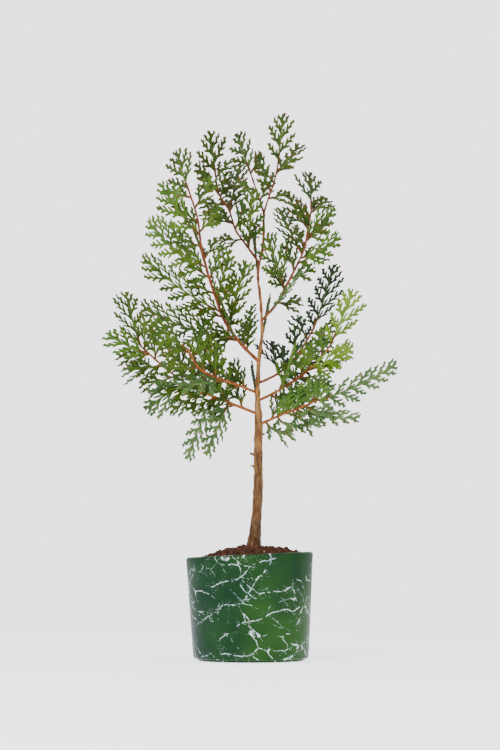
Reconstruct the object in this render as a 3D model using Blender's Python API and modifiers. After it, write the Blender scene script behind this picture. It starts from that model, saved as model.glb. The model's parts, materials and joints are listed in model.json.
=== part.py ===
"""Oriental arborvitae grown as a small bonsai in a round green pot.

Makes the pot, the soil, the trunk, ten boughs and the masses of flat, feathery sprays as closed
solids. Run with: blender --background --python part.py
"""

import math
import random

import bmesh
import bpy
from mathutils import Matrix, Vector
from mathutils.bvhtree import BVHTree

MM = 0.001
GAP = 0.35

# Pot
POT_HEIGHT = 63.0
POT_FOOT_RADIUS = 31.5
POT_FOOT_HEIGHT = 1.2
POT_BASE_RADIUS = 34.5
POT_RIM_RADIUS = 38.1
POT_WALL = 4.2
POT_FLOOR = 6.0
POT_RIM_ROUND = 2.0
POT_BASE_ROUND = 1.6
POT_SLANT = math.radians(2.7)
POT_SHIFT = -0.9
POT_STEPS = 40

# Soil
SOIL_EDGE_DEPTH = 3.2
SOIL_SEAT = 66.7
SOIL_SEAT_RADIUS = 7.0
SOIL_HEAP_RADIUS = 27.0
SOIL_RINGS = 5
RIPPLE_HEIGHT = 0.6
RIPPLE_TURNS = (0.45, 0.38)
RIPPLE_STARTS = (1.0, 0.4)
CRUMB_COUNT = 14
CRUMB_SIZE = (1.3, 2.6)
CRUMB_AWAY = (8.5, 20.0)
CRUMB_SHAPE = (1.2, 1.0, 0.8)
CRUMB_LIFT = 0.35

# Trunk: foot, length, headings in the picture plane, drift to the back
TRUNK_FOOT = (1.4, 0.0, SOIL_SEAT + 0.3)
TRUNK_LENGTH = 204.0
TRUNK_HEADINGS = (84, 87, 90, 89, 92, 88, 84, 92, 95, 80, 89)
TRUNK_DRIFT = 4.0
TRUNK_RADII = (4.0, 3.1, 2.9, 2.6, 2.6, 1.6, 1.25, 1.0, 0.9, 0.8, 0.75, 0.7)
TRUNK_SIDES = 10
TRUNK_STEP = 9.0
TRUNK_FOOT_HEIGHT = 2.0
TRUNK_FOOT_SWELL = 1.15
FLARE_HEIGHT = 4.5
FLARE_SPREAD = 0.3
FLARE_ROOTS = 5
FLARE_TURN = 0.6

# Boughs: name, place on the trunk (0 foot, 1 top), length, headings, drift to the back,
# radius at the root and at the tip
BOUGHS = (
    ("left_bough", 0.55, 111, (135, 126, 111, 108, 103, 98, 108), -27, 1.1, 0.6),
    ("inner_bough", 0.847, 65, (124, 124, 107, 120, 100), 20, 0.8, 0.55),
    ("right_bough", 0.675, 79, (49, 62, 63, 66, 79, 81), 18, 0.9, 0.55),
    ("left_leader", 1.0, 29, (107, 107, 108), 10, 0.65, 0.5),
    ("right_leader", 1.0, 30, (72, 70, 78), -11, 0.65, 0.5),
    ("low_left_upper", 0.458, 50, (160, 163, 154, 121), -24, 0.9, 0.6),
    ("low_left_long", 0.395, 84, (158, 157, 145, 138), 12, 1.0, 0.6),
    ("low_right_upper", 0.486, 50, (27, 41, 54, 60), 20, 0.85, 0.6),
    ("low_right_middle", 0.434, 55, (26, 32, 38, 51), -12, 0.9, 0.6),
    ("low_right_lowest", 0.364, 36, (21, 22, 18, 23), -22, 0.9, 0.6),
)
BOUGH_SIDES = 6
BOUGH_STEP = 8.0
BOUGH_ROOT_STEP = 1.5
CLEAR_STEP = 0.1
CLEAR_TRIES = 200

# Foliage masses: name, limb, place on it, heading of the stem in the picture plane, its length,
# spread to the left and to the right of it, lean to the back, turn about the stem
SPRAYS = (
    ("tip_right", "right_leader", 1.00, 85, 29, 11, 10, -18, 38),
    ("tip_right_side", "right_leader", 0.80, 54, 28, 6, 8, 30, -38),
    ("tip_inner_side", "right_leader", 0.43, 112, 26, 7, 6, -38, 38),
    ("tip_left", "left_leader", 1.00, 106, 28, 10, 9, 25, -38),
    ("inner_top", "inner_bough", 1.00, 96, 26, 14, 12, -22, 38),
    ("inner_right", "inner_bough", 0.61, 80, 43, 11, 10, 36, -38),
    ("inner_left", "inner_bough", 0.79, 129, 26, 7, 6, -36, 38),
    ("inner_left_low", "inner_bough", 0.47, 155, 24, 6, 11, 30, 38),
    ("inner_fan", "inner_bough", 0.18, 87, 41, 11, 11, -38, -38),
    ("left_top", "left_bough", 1.00, 107, 29, 13, 10, 22, -38),
    ("left_high", "left_bough", 0.76, 131, 40, 12, 12, -25, 38),
    ("left_mid", "left_bough", 0.53, 135, 63, 12, 15, 30, -38),
    ("left_low", "left_bough", 0.34, 149, 62, 12, 12, -28, 38),
    ("left_lowest", "left_bough", 0.16, 159, 73, 12, 13, 25, -38),
    ("left_inside_mid", "left_bough", 0.41, 73, 36, 9, 9, -40, -38),
    ("left_inside", "left_bough", 0.26, 73, 42, 10, 9, -25, 38),
    ("left_inside_low", "left_bough", 0.09, 85, 37, 7, 6, 38, -38),
    ("right_top", "right_bough", 1.00, 91, 26, 11, 12, 24, 38),
    ("right_outer_high", "right_bough", 0.73, 51, 35, 9, 9, 32, 38),
    ("right_inner_high", "right_bough", 0.83, 125, 29, 7, 7, -38, -38),
    ("right_inner_mid", "right_bough", 0.62, 112, 43, 9, 9, 36, 38),
    ("right_outer_low", "right_bough", 0.54, 27, 34, 9, 9, -32, -38),
    ("right_fan", "right_bough", 0.31, 110, 39, 12, 12, -38, 38),
    ("right_edge", "right_bough", 0.12, 51, 33, 5, 5, -35, 72),
    ("right_rear_top", "low_right_upper", 1.00, 72, 48, 11, 11, 24, -38),
    ("right_rear_inner", "low_right_upper", 0.28, 102, 27, 13, 12, 40, 38),
    ("right_front_top", "low_right_middle", 1.00, 69, 37, 10, 13, -22, 38),
    ("right_front_outer", "low_right_middle", 0.65, 24, 35, 11, 10, -36, -38),
    ("right_front_inner", "low_right_middle", 0.53, 71, 29, 6, 6, 38, -38),
    ("right_skirt_top", "low_right_lowest", 1.00, 25, 57, 9, 10, 18, 38),
    ("right_skirt_down", "low_right_lowest", 0.65, -10, 41, 9, 7, -22, -38),
    ("right_skirt_up", "low_right_lowest", 0.28, 34, 42, 12, 10, -35, 38),
    ("left_skirt_tip", "low_left_long", 1.00, 108, 39, 11, 10, 24, 38),
    ("left_skirt_out", "low_left_long", 0.92, 156, 31, 9, 9, -28, -38),
    ("left_skirt_mid", "low_left_long", 0.80, 184, 28, 11, 11, 34, 38),
    ("left_skirt_inner", "low_left_long", 0.56, 214, 32, 12, 11, -25, -38),
    ("left_skirt_down", "low_left_long", 0.35, 246, 45, 8, 9, 28, 38),
    ("left_skirt_near", "low_left_long", 0.23, 250, 42, 7, 10, -35, -38),
    ("left_cover", "low_left_upper", 1.00, 145, 31, 11, 11, -30, 38),
    ("left_cover_up", "low_left_upper", 0.53, 88, 27, 8, 8, -45, -38),
    ("left_cover_out", "low_left_upper", 0.45, 186, 34, 9, 9, -34, 38),
    ("back_low", "trunk", 0.42, 100, 58, 13, 13, 66, 90),
    ("back_middle", "trunk", 0.62, 80, 54, 13, 13, 60, 90),
    ("back_high", "trunk", 0.80, 95, 48, 12, 12, 55, 90),
    ("fore_left", "left_bough", 0.21, 110, 46, 11, 11, -62, 90),
    ("fore_right", "low_right_middle", 0.30, 70, 42, 11, 11, -62, 90),
    ("back_left", "left_bough", 0.64, 110, 42, 11, 11, 60, 90),
)

# One spray
STEM_RADIUS = (0.85, 0.65)
STEM_SIDES = 4
STEM_STEP = 11.0
STEM_BEND = 0.35
STEM_HANGS = -0.3
STEM_NUDGES = (0, 6, -6, 12, -12, 18, -18, 25, -25)
SHOOT_STEP = 6.0
SHOOT_ANGLE = (48.0, 36.0)
SHOOT_LEAST = 4.5
SHOOT_FIRST = 4.0
SHOOT_LAST = 3.0
SHOOT_SCATTER = 0.15
ANGLE_SCATTER = 4.0
LENGTH_SCATTER = (0.88, 1.08)
SPREAD_SCALE = 1.25
SPREAD_ROOT = 0.65
SPREAD_RISE = 1.6
SPREAD_TAPER = 0.85
SPREAD_FADE = 0.6
TIP_SHARE = 0.3
TIP_MOST = 12.0
TIP_SUNK = 1.5
TIP_BARE = 0.7
BLADE_THICK = 0.7
BLADE_CORE = 0.5
TOOTH_STEP = 5.4
TOOTH_ANGLE = math.radians(38)
TOOTH_SHARE = 0.46
TOOTH_MOST = 6.0
TOOTH_LEAST = 1.8
TOOTH_COUNT_MOST = 3
TOOTH_ROOM = 3.0
TOOTH_TIP = 1.5
TOOTH_OFFSET = 0.5
TOOTH_START = 0.2
TOOTH_FADE = 0.6
TOOTH_NARROW = 0.85
BLADE_CLEAR = 0.3
BLADE_TILT = 9.0
TILTS = (0, 14, -14, 28, -28, 45, -45)

COLOURS = {
    "pot": ((0.016, 0.085, 0.042, 1), 0.25),
    "soil": ((0.045, 0.02, 0.012, 1), 0.95),
    "bark": ((0.27, 0.14, 0.06, 1), 0.8),
    "foliage": ((0.06, 0.155, 0.02, 1), 0.55),
}


def material_for(name, kind):
    """A plain Principled material of its own for one sub-part."""
    colour, roughness = COLOURS[kind]
    material = bpy.data.materials.new(name)
    material.use_nodes = True
    shader = material.node_tree.nodes["Principled BSDF"]
    shader.inputs["Base Color"].default_value = colour
    shader.inputs["Roughness"].default_value = roughness
    shader.inputs["Metallic"].default_value = 0.0
    material.diffuse_color = colour
    return material


def add_object(name, mesh, collection, kind=None):
    """Links a mesh as one named object, with its material where it has one."""
    obj = bpy.data.objects.new(name, mesh)
    collection.objects.link(obj)
    if kind:
        mesh.materials.clear()
        mesh.materials.append(material_for(name, kind))
    return obj


def mesh_from(bm, name):
    """Turns a bmesh into a mesh with its faces pointing out."""
    bmesh.ops.recalc_face_normals(bm, faces=bm.faces)
    mesh = bpy.data.meshes.new(name)
    bm.to_mesh(mesh)
    bm.free()
    return mesh


def smooth(mesh):
    """Shades a round mesh smooth."""
    for polygon in mesh.polygons:
        polygon.use_smooth = True


# Tubes

def ring_profile(sides):
    """A closed curve of a few sides and 1 m radius that tubes take as their section."""
    curve = bpy.data.curves.new(f"ring_{sides}", "CURVE")
    curve.dimensions = "2D"
    spline = curve.splines.new("POLY")
    spline.points.add(sides - 1)
    for index, point in enumerate(spline.points):
        angle = math.tau * index / sides
        point.co = (math.cos(angle), math.sin(angle), 0, 1)
    spline.use_cyclic_u = True
    profile = bpy.data.objects.new(curve.name, curve)
    bpy.context.scene.collection.objects.link(profile)
    return profile


def tube(name, points, radii, profile):
    """A capped tube along points in mm, with one radius in mm for each point."""
    curve = bpy.data.curves.new(name, "CURVE")
    curve.dimensions = "3D"
    curve.bevel_mode = "OBJECT"
    curve.bevel_object = profile
    curve.use_fill_caps = True
    spline = curve.splines.new("POLY")
    spline.points.add(len(points) - 1)
    for target, place, radius in zip(spline.points, points, radii):
        target.co = (*(Vector(place) * MM), 1)
        target.radius = radius * MM
    holder = bpy.data.objects.new(name, curve)
    bpy.context.scene.collection.objects.link(holder)
    bpy.context.view_layer.update()
    evaluated = holder.evaluated_get(bpy.context.evaluated_depsgraph_get())
    mesh = bpy.data.meshes.new_from_object(evaluated)
    bpy.data.objects.remove(holder)
    bpy.data.curves.remove(curve)
    bm = bmesh.new()
    bm.from_mesh(mesh)
    bpy.data.meshes.remove(mesh)
    bmesh.ops.remove_doubles(bm, verts=bm.verts, dist=0.001 * MM)
    return mesh_from(bm, name)


# Limbs

def smooth_track(corners, step):
    """Points about a step apart on a smooth line through the corners."""
    ends = [corners[0] * 2 - corners[1]] + corners + [corners[-1] * 2 - corners[-2]]
    points = []
    for before, start, stop, after in zip(ends, ends[1:], ends[2:], ends[3:]):
        count = max(1, round((stop - start).length / step))
        for index in range(count):
            t = index / count
            points.append(0.5 * (
                2 * start
                + (stop - before) * t
                + (2 * before - 5 * start + 4 * stop - after) * t ** 2
                + (3 * start - before - 3 * stop + after) * t ** 3
            ))
    points.append(corners[-1])
    return points


def limb_track(start, length, headings, drift, step):
    """The centre line of a limb that follows its headings and drifts to the back."""
    corners = [Vector(start)]
    leg = length / len(headings)
    for heading in headings:
        angle = math.radians(heading)
        move = Vector((leg * math.cos(angle), drift / len(headings), leg * math.sin(angle)))
        corners.append(corners[-1] + move)
    return smooth_track(corners, step)


def blend(values, share):
    """The value a share of the way along an even row of values."""
    place = min(max(share, 0.0), 1.0) * (len(values) - 1)
    index = min(int(place), len(values) - 2)
    return values[index] + (values[index + 1] - values[index]) * (place - index)


def along(points, share):
    """The point and the direction a share of the way along a track."""
    lengths = [(b - a).length for a, b in zip(points, points[1:])]
    left = share * sum(lengths)
    for index, length in enumerate(lengths):
        if left <= length or index == len(lengths) - 1:
            direction = (points[index + 1] - points[index]).normalized()
            return points[index] + direction * left, direction
        left -= length


class Limb:
    """A limb's centre line and radii, kept for what grows on it."""

    def __init__(self, points, radii):
        self.points = points
        self.radii = radii

    def distance(self, place):
        """Distance from a place to the limb's surface, in mm."""
        nearest = math.inf
        pairs = zip(self.points, self.points[1:], self.radii, self.radii[1:])
        for start, stop, first, last in pairs:
            line = stop - start
            share = min(max((place - start).dot(line) / line.length_squared, 0.0), 1.0)
            radius = first + (last - first) * share
            nearest = min(nearest, (place - start - line * share).length - radius)
        return nearest


def clear_start(place, direction, radius, limbs):
    """Moves a limb's first point outwards until its flat end clears the limbs."""
    side = direction.orthogonal().normalized()
    other = direction.cross(side)
    for _ in range(CLEAR_TRIES):
        rim = [
            place + (side * math.cos(turn) + other * math.sin(turn)) * radius
            for turn in (math.tau * index / 8 for index in range(8))
        ]
        if all(limb.distance(point) > GAP for point in rim for limb in limbs):
            break
        place = place + direction * CLEAR_STEP
    return place


def lathe(name, outline, steps):
    """Turns an outline of radius and height in mm, open at the axis, with the Screw modifier."""
    bm = bmesh.new()
    line = [bm.verts.new((radius * MM, 0, height * MM)) for radius, height in outline]
    for first, second in zip(line, line[1:]):
        bm.edges.new((first, second))
    mesh = bpy.data.meshes.new(name)
    bm.to_mesh(mesh)
    bm.free()
    obj = bpy.data.objects.new(name, mesh)
    bpy.context.scene.collection.objects.link(obj)
    screw = obj.modifiers.new("turn", "SCREW")
    screw.steps = steps
    screw.render_steps = steps
    screw.use_merge_vertices = True
    screw.merge_threshold = 0.01 * MM
    bpy.context.view_layer.update()
    turned = obj.evaluated_get(bpy.context.evaluated_depsgraph_get())
    result = bpy.data.meshes.new_from_object(turned)
    bpy.data.objects.remove(obj)
    bpy.data.meshes.remove(mesh)
    return result


def corner_arc(centre, radius, first, last, count):
    """Points of a rounded corner from one angle to another, in degrees."""
    return [
        (
            centre[0] + radius * math.cos(math.radians(first + (last - first) * index / count)),
            centre[1] + radius * math.sin(math.radians(first + (last - first) * index / count)),
        )
        for index in range(count + 1)
    ]


def slant(mesh):
    """Gives a turned mesh the hand-made pot's sloping rim and slight lean."""
    for vertex in mesh.vertices:
        rise = max(vertex.co.z, 0.0) / (POT_HEIGHT * MM)
        vertex.co.z += vertex.co.x * math.tan(POT_SLANT) * rise
        vertex.co.x += POT_SHIFT * MM * rise


def wall_radius(height):
    """Outer radius of the pot's wall at a height."""
    return POT_BASE_RADIUS + (POT_RIM_RADIUS - POT_BASE_RADIUS) * height / POT_HEIGHT


def add_pot(collection):
    """The hollow pot with its rounded rim and its set-in foot."""
    inner_floor = wall_radius(POT_FLOOR) - POT_WALL
    inner_rim = wall_radius(POT_HEIGHT) - POT_WALL
    rim = corner_arc(
        (inner_rim + POT_RIM_ROUND, POT_HEIGHT - POT_RIM_ROUND), POT_RIM_ROUND, 180, 90, 2
    ) + corner_arc(
        (POT_RIM_RADIUS - POT_RIM_ROUND, POT_HEIGHT - POT_RIM_ROUND), POT_RIM_ROUND, 90, 0, 3
    )
    base = corner_arc(
        (POT_BASE_RADIUS - POT_BASE_ROUND, POT_FOOT_HEIGHT + POT_BASE_ROUND),
        POT_BASE_ROUND, 0, -90, 2,
    )
    foot = [(POT_FOOT_RADIUS, POT_FOOT_HEIGHT), (POT_FOOT_RADIUS, 0), (0, 0)]
    mesh = lathe("pot", [(0, POT_FLOOR), (inner_floor, POT_FLOOR)] + rim + base + foot, POT_STEPS)
    slant(mesh)
    smooth(mesh)
    mesh.set_sharp_from_angle(angle=math.radians(40))
    add_object("pot", mesh, collection, "pot")


def heap_height(x, y, edge, top):
    """Height of the heaped soil at a place, flat under the trunk."""
    away = math.hypot(x - TRUNK_FOOT[0], y)
    share = min(max((away - SOIL_SEAT_RADIUS) / (SOIL_HEAP_RADIUS - SOIL_SEAT_RADIUS), 0.0), 1.0)
    height = edge + (top - edge) * (0.5 + 0.5 * math.cos(math.pi * share))
    ripple = RIPPLE_HEIGHT * math.sin(RIPPLE_TURNS[0] * x + RIPPLE_STARTS[0])
    ripple *= math.cos(RIPPLE_TURNS[1] * y + RIPPLE_STARTS[1])
    return height + ripple * math.sin(math.pi * share) + x * math.tan(POT_SLANT) * share


def add_soil(collection):
    """Soil that fills the pot and heaps up round the trunk, with loose crumbs fused on."""
    floor = POT_FLOOR + GAP
    edge = POT_HEIGHT - SOIL_EDGE_DEPTH
    inner = wall_radius(edge) - POT_WALL - GAP
    low = wall_radius(floor) - POT_WALL - GAP
    rings = [inner * (index + 1) / SOIL_RINGS for index in range(SOIL_RINGS)]
    outline = [(0, edge)] + [(ring, edge) for ring in rings] + [(low, floor), (0, floor)]
    mesh = lathe("soil", outline, POT_STEPS // 2)
    raised = [
        vertex for vertex in mesh.vertices
        if vertex.co.z > (edge - 0.01) * MM and vertex.co.xy.length < (inner - 0.5) * MM
    ]
    slant(mesh)
    for vertex in raised:
        x, y = vertex.co.x / MM, vertex.co.y / MM
        vertex.co.z = heap_height(x, y, edge, SOIL_SEAT) * MM
    smooth(mesh)
    obj = add_object("soil", mesh, collection, "soil")
    pieces = bpy.data.collections.new("soil_crumbs")
    bpy.context.scene.collection.children.link(pieces)
    rng = random.Random("crumbs")
    for index in range(CRUMB_COUNT):
        turn = math.tau * (index + rng.uniform(-0.3, 0.3)) / CRUMB_COUNT
        away = rng.uniform(*CRUMB_AWAY)
        x = TRUNK_FOOT[0] + away * math.cos(turn)
        y = away * math.sin(turn)
        size = rng.uniform(*CRUMB_SIZE)
        bm = bmesh.new()
        bmesh.ops.create_icosphere(bm, subdivisions=1, radius=size * MM)
        place = Vector((x, y, heap_height(x, y, edge, SOIL_SEAT) + size * CRUMB_LIFT)) * MM
        turned = Matrix.Rotation(rng.uniform(0, math.tau), 4, "Z")
        bm.transform(Matrix.Translation(place) @ turned @ Matrix.Diagonal((*CRUMB_SHAPE, 1)))
        add_object("crumb", mesh_from(bm, "crumb"), pieces)
    join_pieces(obj, pieces)


def add_trunk(collection, profile):
    """The trunk, from its flat foot on the soil to its fork."""
    points = limb_track(TRUNK_FOOT, TRUNK_LENGTH, TRUNK_HEADINGS, TRUNK_DRIFT, TRUNK_STEP)
    points.insert(1, points[0] + Vector((0.1, 0, TRUNK_FOOT_HEIGHT)))
    count = len(points) - 1
    radii = [blend(TRUNK_RADII, index / count) for index in range(count + 1)]
    radii[0] *= TRUNK_FOOT_SWELL
    mesh = tube("trunk", points, radii, profile)
    foot = Vector(TRUNK_FOOT) * MM
    for vertex in mesh.vertices:
        offset = vertex.co - foot
        angle = math.atan2(offset.y, offset.x)
        lobe = 0.5 + 0.5 * math.sin(FLARE_ROOTS * angle + FLARE_TURN)
        widen = 1 + FLARE_SPREAD * lobe * math.exp(-offset.z / (FLARE_HEIGHT * MM))
        vertex.co.x = foot.x + offset.x * widen
        vertex.co.y = foot.y + offset.y * widen
    smooth(mesh)
    add_object("trunk", mesh, collection, "bark")
    return Limb(points, radii)


def add_bough(row, limbs, collection, profile):
    """One tapering bough, its root just clear of the trunk."""
    name, share, length, headings, drift, root, tip = row
    start, _ = along(limbs["trunk"].points, share)
    track = limb_track(start, length, headings, drift, BOUGH_STEP)
    direction = (track[1] - track[0]).normalized()
    first = clear_start(start, direction, root, limbs.values())
    shift = (first - start).length
    points = [first] + [p for p in track if (p - start).dot(direction) > shift + BOUGH_ROOT_STEP]
    count = len(points) - 1
    radii = [root + (tip - root) * index / count for index in range(count + 1)]
    mesh = tube(name, points, radii, profile)
    smooth(mesh)
    add_object(name, mesh, collection, "bark")
    return Limb(points, radii)


# Sprays

def toothed_outline(length, reach, swell=0.0):
    """Outline of a flat shoot along X: a slim core with forward teeth on both sides."""
    count = min(max(round((length - TOOTH_ROOM) / TOOTH_STEP), 1), TOOTH_COUNT_MOST)
    pitch = (length - TOOTH_TIP) / (count + TOOTH_OFFSET)
    core = BLADE_CORE + swell
    sides = []
    for sign, offset in ((1, 0.0), (-1, TOOTH_OFFSET)):
        line = [(-swell, sign * core)]
        for index in range(count):
            start = pitch * (index + offset)
            fade = (1 - start / length) ** TOOTH_FADE
            tooth = max(reach * fade, TOOTH_LEAST) + swell
            line.append((
                start + pitch * TOOTH_START + tooth * math.cos(TOOTH_ANGLE),
                sign * (core + tooth * math.sin(TOOTH_ANGLE)),
            ))
            line.append((start + pitch, sign * core * TOOTH_NARROW))
        sides.append(line)
    return sides[0] + [(length + swell, 0.0)] + sides[1][::-1]


def plate(outline, thick, place):
    """A closed plate from an outline in mm, moved to its place."""
    bm = bmesh.new()
    corners = [bm.verts.new((x, y, -thick / 2)) for x, y in outline]
    face = bm.faces.new(corners)
    raised = bmesh.ops.extrude_face_region(bm, geom=[face])["geom"]
    tops = [item for item in raised if isinstance(item, bmesh.types.BMVert)]
    bmesh.ops.translate(bm, verts=tops, vec=(0, 0, thick))
    bm.transform(Matrix.Diagonal((MM, MM, MM, 1)) @ place)
    bmesh.ops.recalc_face_normals(bm, faces=bm.faces)
    return bm


def frame_at(origin, forward, side, tilt):
    """Matrix with X forward and Y to the side, tilted about X by some degrees."""
    normal = forward.cross(side).normalized()
    turn = Matrix.Rotation(math.radians(tilt), 3, forward)
    across = turn @ normal.cross(forward).normalized()
    up = turn @ normal
    matrix = Matrix((forward, across, up)).transposed().to_4x4()
    matrix.translation = origin
    return matrix


def spray_axes(heading, lean, turn):
    """Stem direction and side direction of a spray."""
    flat = math.radians(heading)
    back = math.radians(lean)
    forward = Vector((
        math.cos(flat) * math.cos(back),
        math.sin(back),
        math.sin(flat) * math.cos(back),
    ))
    side = Vector((-math.sin(flat), 0, math.cos(flat)))
    normal = forward.cross(side)
    angle = math.radians(turn)
    return forward, side * math.cos(angle) + normal * math.sin(angle)


def stem_track(start, forward, side, length, bend):
    """Centre line of a spray's stem, bending evenly in the spray's plane."""
    count = max(2, round(length / STEM_STEP))
    points = [start]
    for index in range(count):
        angle = math.radians(bend * ((index + 0.5) / count - 0.5))
        move = forward * math.cos(angle) + side * math.sin(angle)
        points.append(points[-1] + move * (length / count))
    return points


def tip_length(length):
    """Length of the blade that ends a stem."""
    return min(TIP_MOST, TIP_SHARE * length)


def side_shoots(length, left, right, rng):
    """Distance along the stem, side, angle and length of each side shoot."""
    shoots = []
    side = rng.choice((1, -1))
    place = SHOOT_FIRST
    while place < length - SHOOT_LAST:
        share = place / length
        spread = left if side > 0 else right
        rise = min(1.0, SPREAD_ROOT + SPREAD_RISE * share)
        width = SPREAD_SCALE * spread * rise * (1 - SPREAD_TAPER * share) ** SPREAD_FADE
        angle = SHOOT_ANGLE[0] + (SHOOT_ANGLE[1] - SHOOT_ANGLE[0]) * share
        angle += rng.uniform(-ANGLE_SCATTER, ANGLE_SCATTER)
        reach = max(width / math.sin(math.radians(angle)), SHOOT_LEAST)
        shoots.append((place, side, angle, reach * rng.uniform(*LENGTH_SCATTER)))
        place += SHOOT_STEP * rng.uniform(1 - SHOOT_SCATTER, 1 + SHOOT_SCATTER)
        side = -side
    return shoots


def touches(tree, others):
    """Whether a trial shape meets any solid made before."""
    return any(tree.overlap(other) for other in others)


def tree_of(bm):
    """Search tree of a bmesh, which is freed."""
    tree = BVHTree.FromBMesh(bm, epsilon=0.0)
    bm.free()
    return tree


def tree_of_mesh(mesh):
    """Search tree of a mesh."""
    bm = bmesh.new()
    bm.from_mesh(mesh)
    return tree_of(bm)


def grow_stem(row, limbs, trees, profile):
    """A spray's stem, leaned a little more or less until it meets no other solid."""
    name, limb_name, share, heading, length, _, _, lean, turn = row
    upright = 90 if math.sin(math.radians(heading)) > STEM_HANGS else 270
    bend = STEM_BEND * (upright - heading)
    stem_end = length - tip_length(length) + TIP_SUNK
    for nudge in STEM_NUDGES:
        forward, side = spray_axes(heading, lean + nudge, turn)
        start, _ = along(limbs[limb_name].points, share)
        angle = math.radians(-bend / 2)
        first = forward * math.cos(angle) + side * math.sin(angle)
        start = clear_start(start, first, STEM_RADIUS[0], limbs.values())
        track = stem_track(start, forward, side, length, bend)
        leg = length / (len(track) - 1)
        stem = [point for index, point in enumerate(track) if index * leg < stem_end - leg / 4]
        stem.append(along(track, stem_end / length)[0])
        radii = [blend(STEM_RADIUS, index / len(stem)) for index in range(len(stem))]
        mesh = tube(name, stem, radii, profile)
        tree = tree_of_mesh(mesh)
        if not touches(tree, trees):
            break
        bpy.data.meshes.remove(mesh)
    return mesh, tree, forward, side, track


def grow_spray(row, limbs, trees, collection, profile):
    """One foliage mass: a four-sided stem with toothed blades, fused to one solid."""
    name, _, _, _, length, left, right, _, _ = row
    rng = random.Random(name)
    mesh, stem_tree, forward, side, track = grow_stem(row, limbs, trees, profile)
    obj = add_object(f"foliage_{name}", mesh, collection, "foliage")
    pieces = bpy.data.collections.new(f"{name}_pieces")
    bpy.context.scene.collection.children.link(pieces)
    tip = tip_length(length)
    blades = [(1 - (tip - TIP_SUNK) / length, 0, 0.0, tip)]
    for place, hand, turned, reach in side_shoots(length - tip * TIP_BARE, left, right, rng):
        blades.append((place / length, hand, turned, reach))
    own = [stem_tree]
    for place, hand, turned, reach in blades:
        origin, direction = along(track, place)
        across = forward.cross(side).normalized().cross(direction).normalized()
        spin = math.radians(turned) * hand
        axis = direction * math.cos(spin) + across * math.sin(spin)
        sideways = across * math.cos(spin) - direction * math.sin(spin)
        tooth = min(TOOTH_SHARE * reach, TOOTH_MOST)
        base_tilt = rng.uniform(-BLADE_TILT, BLADE_TILT)
        for tilt in TILTS:
            frame = frame_at(origin, axis, sideways, base_tilt + tilt)
            roomy = plate(toothed_outline(reach, tooth, BLADE_CLEAR),
                          BLADE_THICK + 2 * BLADE_CLEAR, frame)
            if not touches(tree_of(roomy), trees):
                blade = mesh_from(plate(toothed_outline(reach, tooth), BLADE_THICK, frame),
                                  f"{name}_blade")
                own.append(tree_of_mesh(blade))
                add_object(f"{name}_blade", blade, pieces)
                break
    join_pieces(obj, pieces)
    return own


def keep_main_shell(mesh):
    """Drops loose scraps and the skins of sealed hollows that a union may leave."""
    bm = bmesh.new()
    bm.from_mesh(mesh)
    waiting = set(bm.verts)
    shells = []
    while waiting:
        shell = {waiting.pop()}
        edge_of_shell = list(shell)
        while edge_of_shell:
            vertex = edge_of_shell.pop()
            for edge in vertex.link_edges:
                other = edge.other_vert(vertex)
                if other in waiting:
                    waiting.discard(other)
                    shell.add(other)
                    edge_of_shell.append(other)
        shells.append(shell)
    shells.sort(key=len)
    for shell in shells[:-1]:
        bmesh.ops.delete(bm, geom=list(shell), context="VERTS")
    bm.to_mesh(mesh)
    bm.free()


def join_pieces(obj, pieces):
    """Fuses the collection's pieces to the object with one union."""
    union = obj.modifiers.new("join", "BOOLEAN")
    union.operation = "UNION"
    union.operand_type = "COLLECTION"
    union.collection = pieces
    union.solver = "MANIFOLD"
    bpy.context.view_layer.update()
    evaluated = obj.evaluated_get(bpy.context.evaluated_depsgraph_get())
    mesh = bpy.data.meshes.new_from_object(evaluated)
    obj.modifiers.clear()
    keep_main_shell(mesh)
    stem = obj.data
    obj.data = mesh
    bpy.data.meshes.remove(stem)
    for piece in list(pieces.objects):
        bpy.data.objects.remove(piece)
    bpy.data.collections.remove(pieces)


def clear_scene():
    """Removes the objects that the start-up file brings."""
    for obj in list(bpy.data.objects):
        bpy.data.objects.remove(obj)


def build():
    """Makes the whole plant."""
    clear_scene()
    collection = bpy.data.collections.new("arborvitae_bonsai")
    bpy.context.scene.collection.children.link(collection)
    add_pot(collection)
    add_soil(collection)
    rings = {sides: ring_profile(sides) for sides in (STEM_SIDES, BOUGH_SIDES, TRUNK_SIDES)}
    limbs = {"trunk": add_trunk(collection, rings[TRUNK_SIDES])}
    for row in BOUGHS:
        limbs[row[0]] = add_bough(row, limbs, collection, rings[BOUGH_SIDES])
    trees = [tree_of_mesh(obj.data) for obj in collection.objects]
    for row in SPRAYS:
        trees += grow_spray(row, limbs, trees, collection, rings[STEM_SIDES])
    for profile in rings.values():
        curve = profile.data
        bpy.data.objects.remove(profile)
        bpy.data.curves.remove(curve)


build()
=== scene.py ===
import json
import math
import random

import bmesh
import bpy
from mathutils import Matrix, Vector

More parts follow.
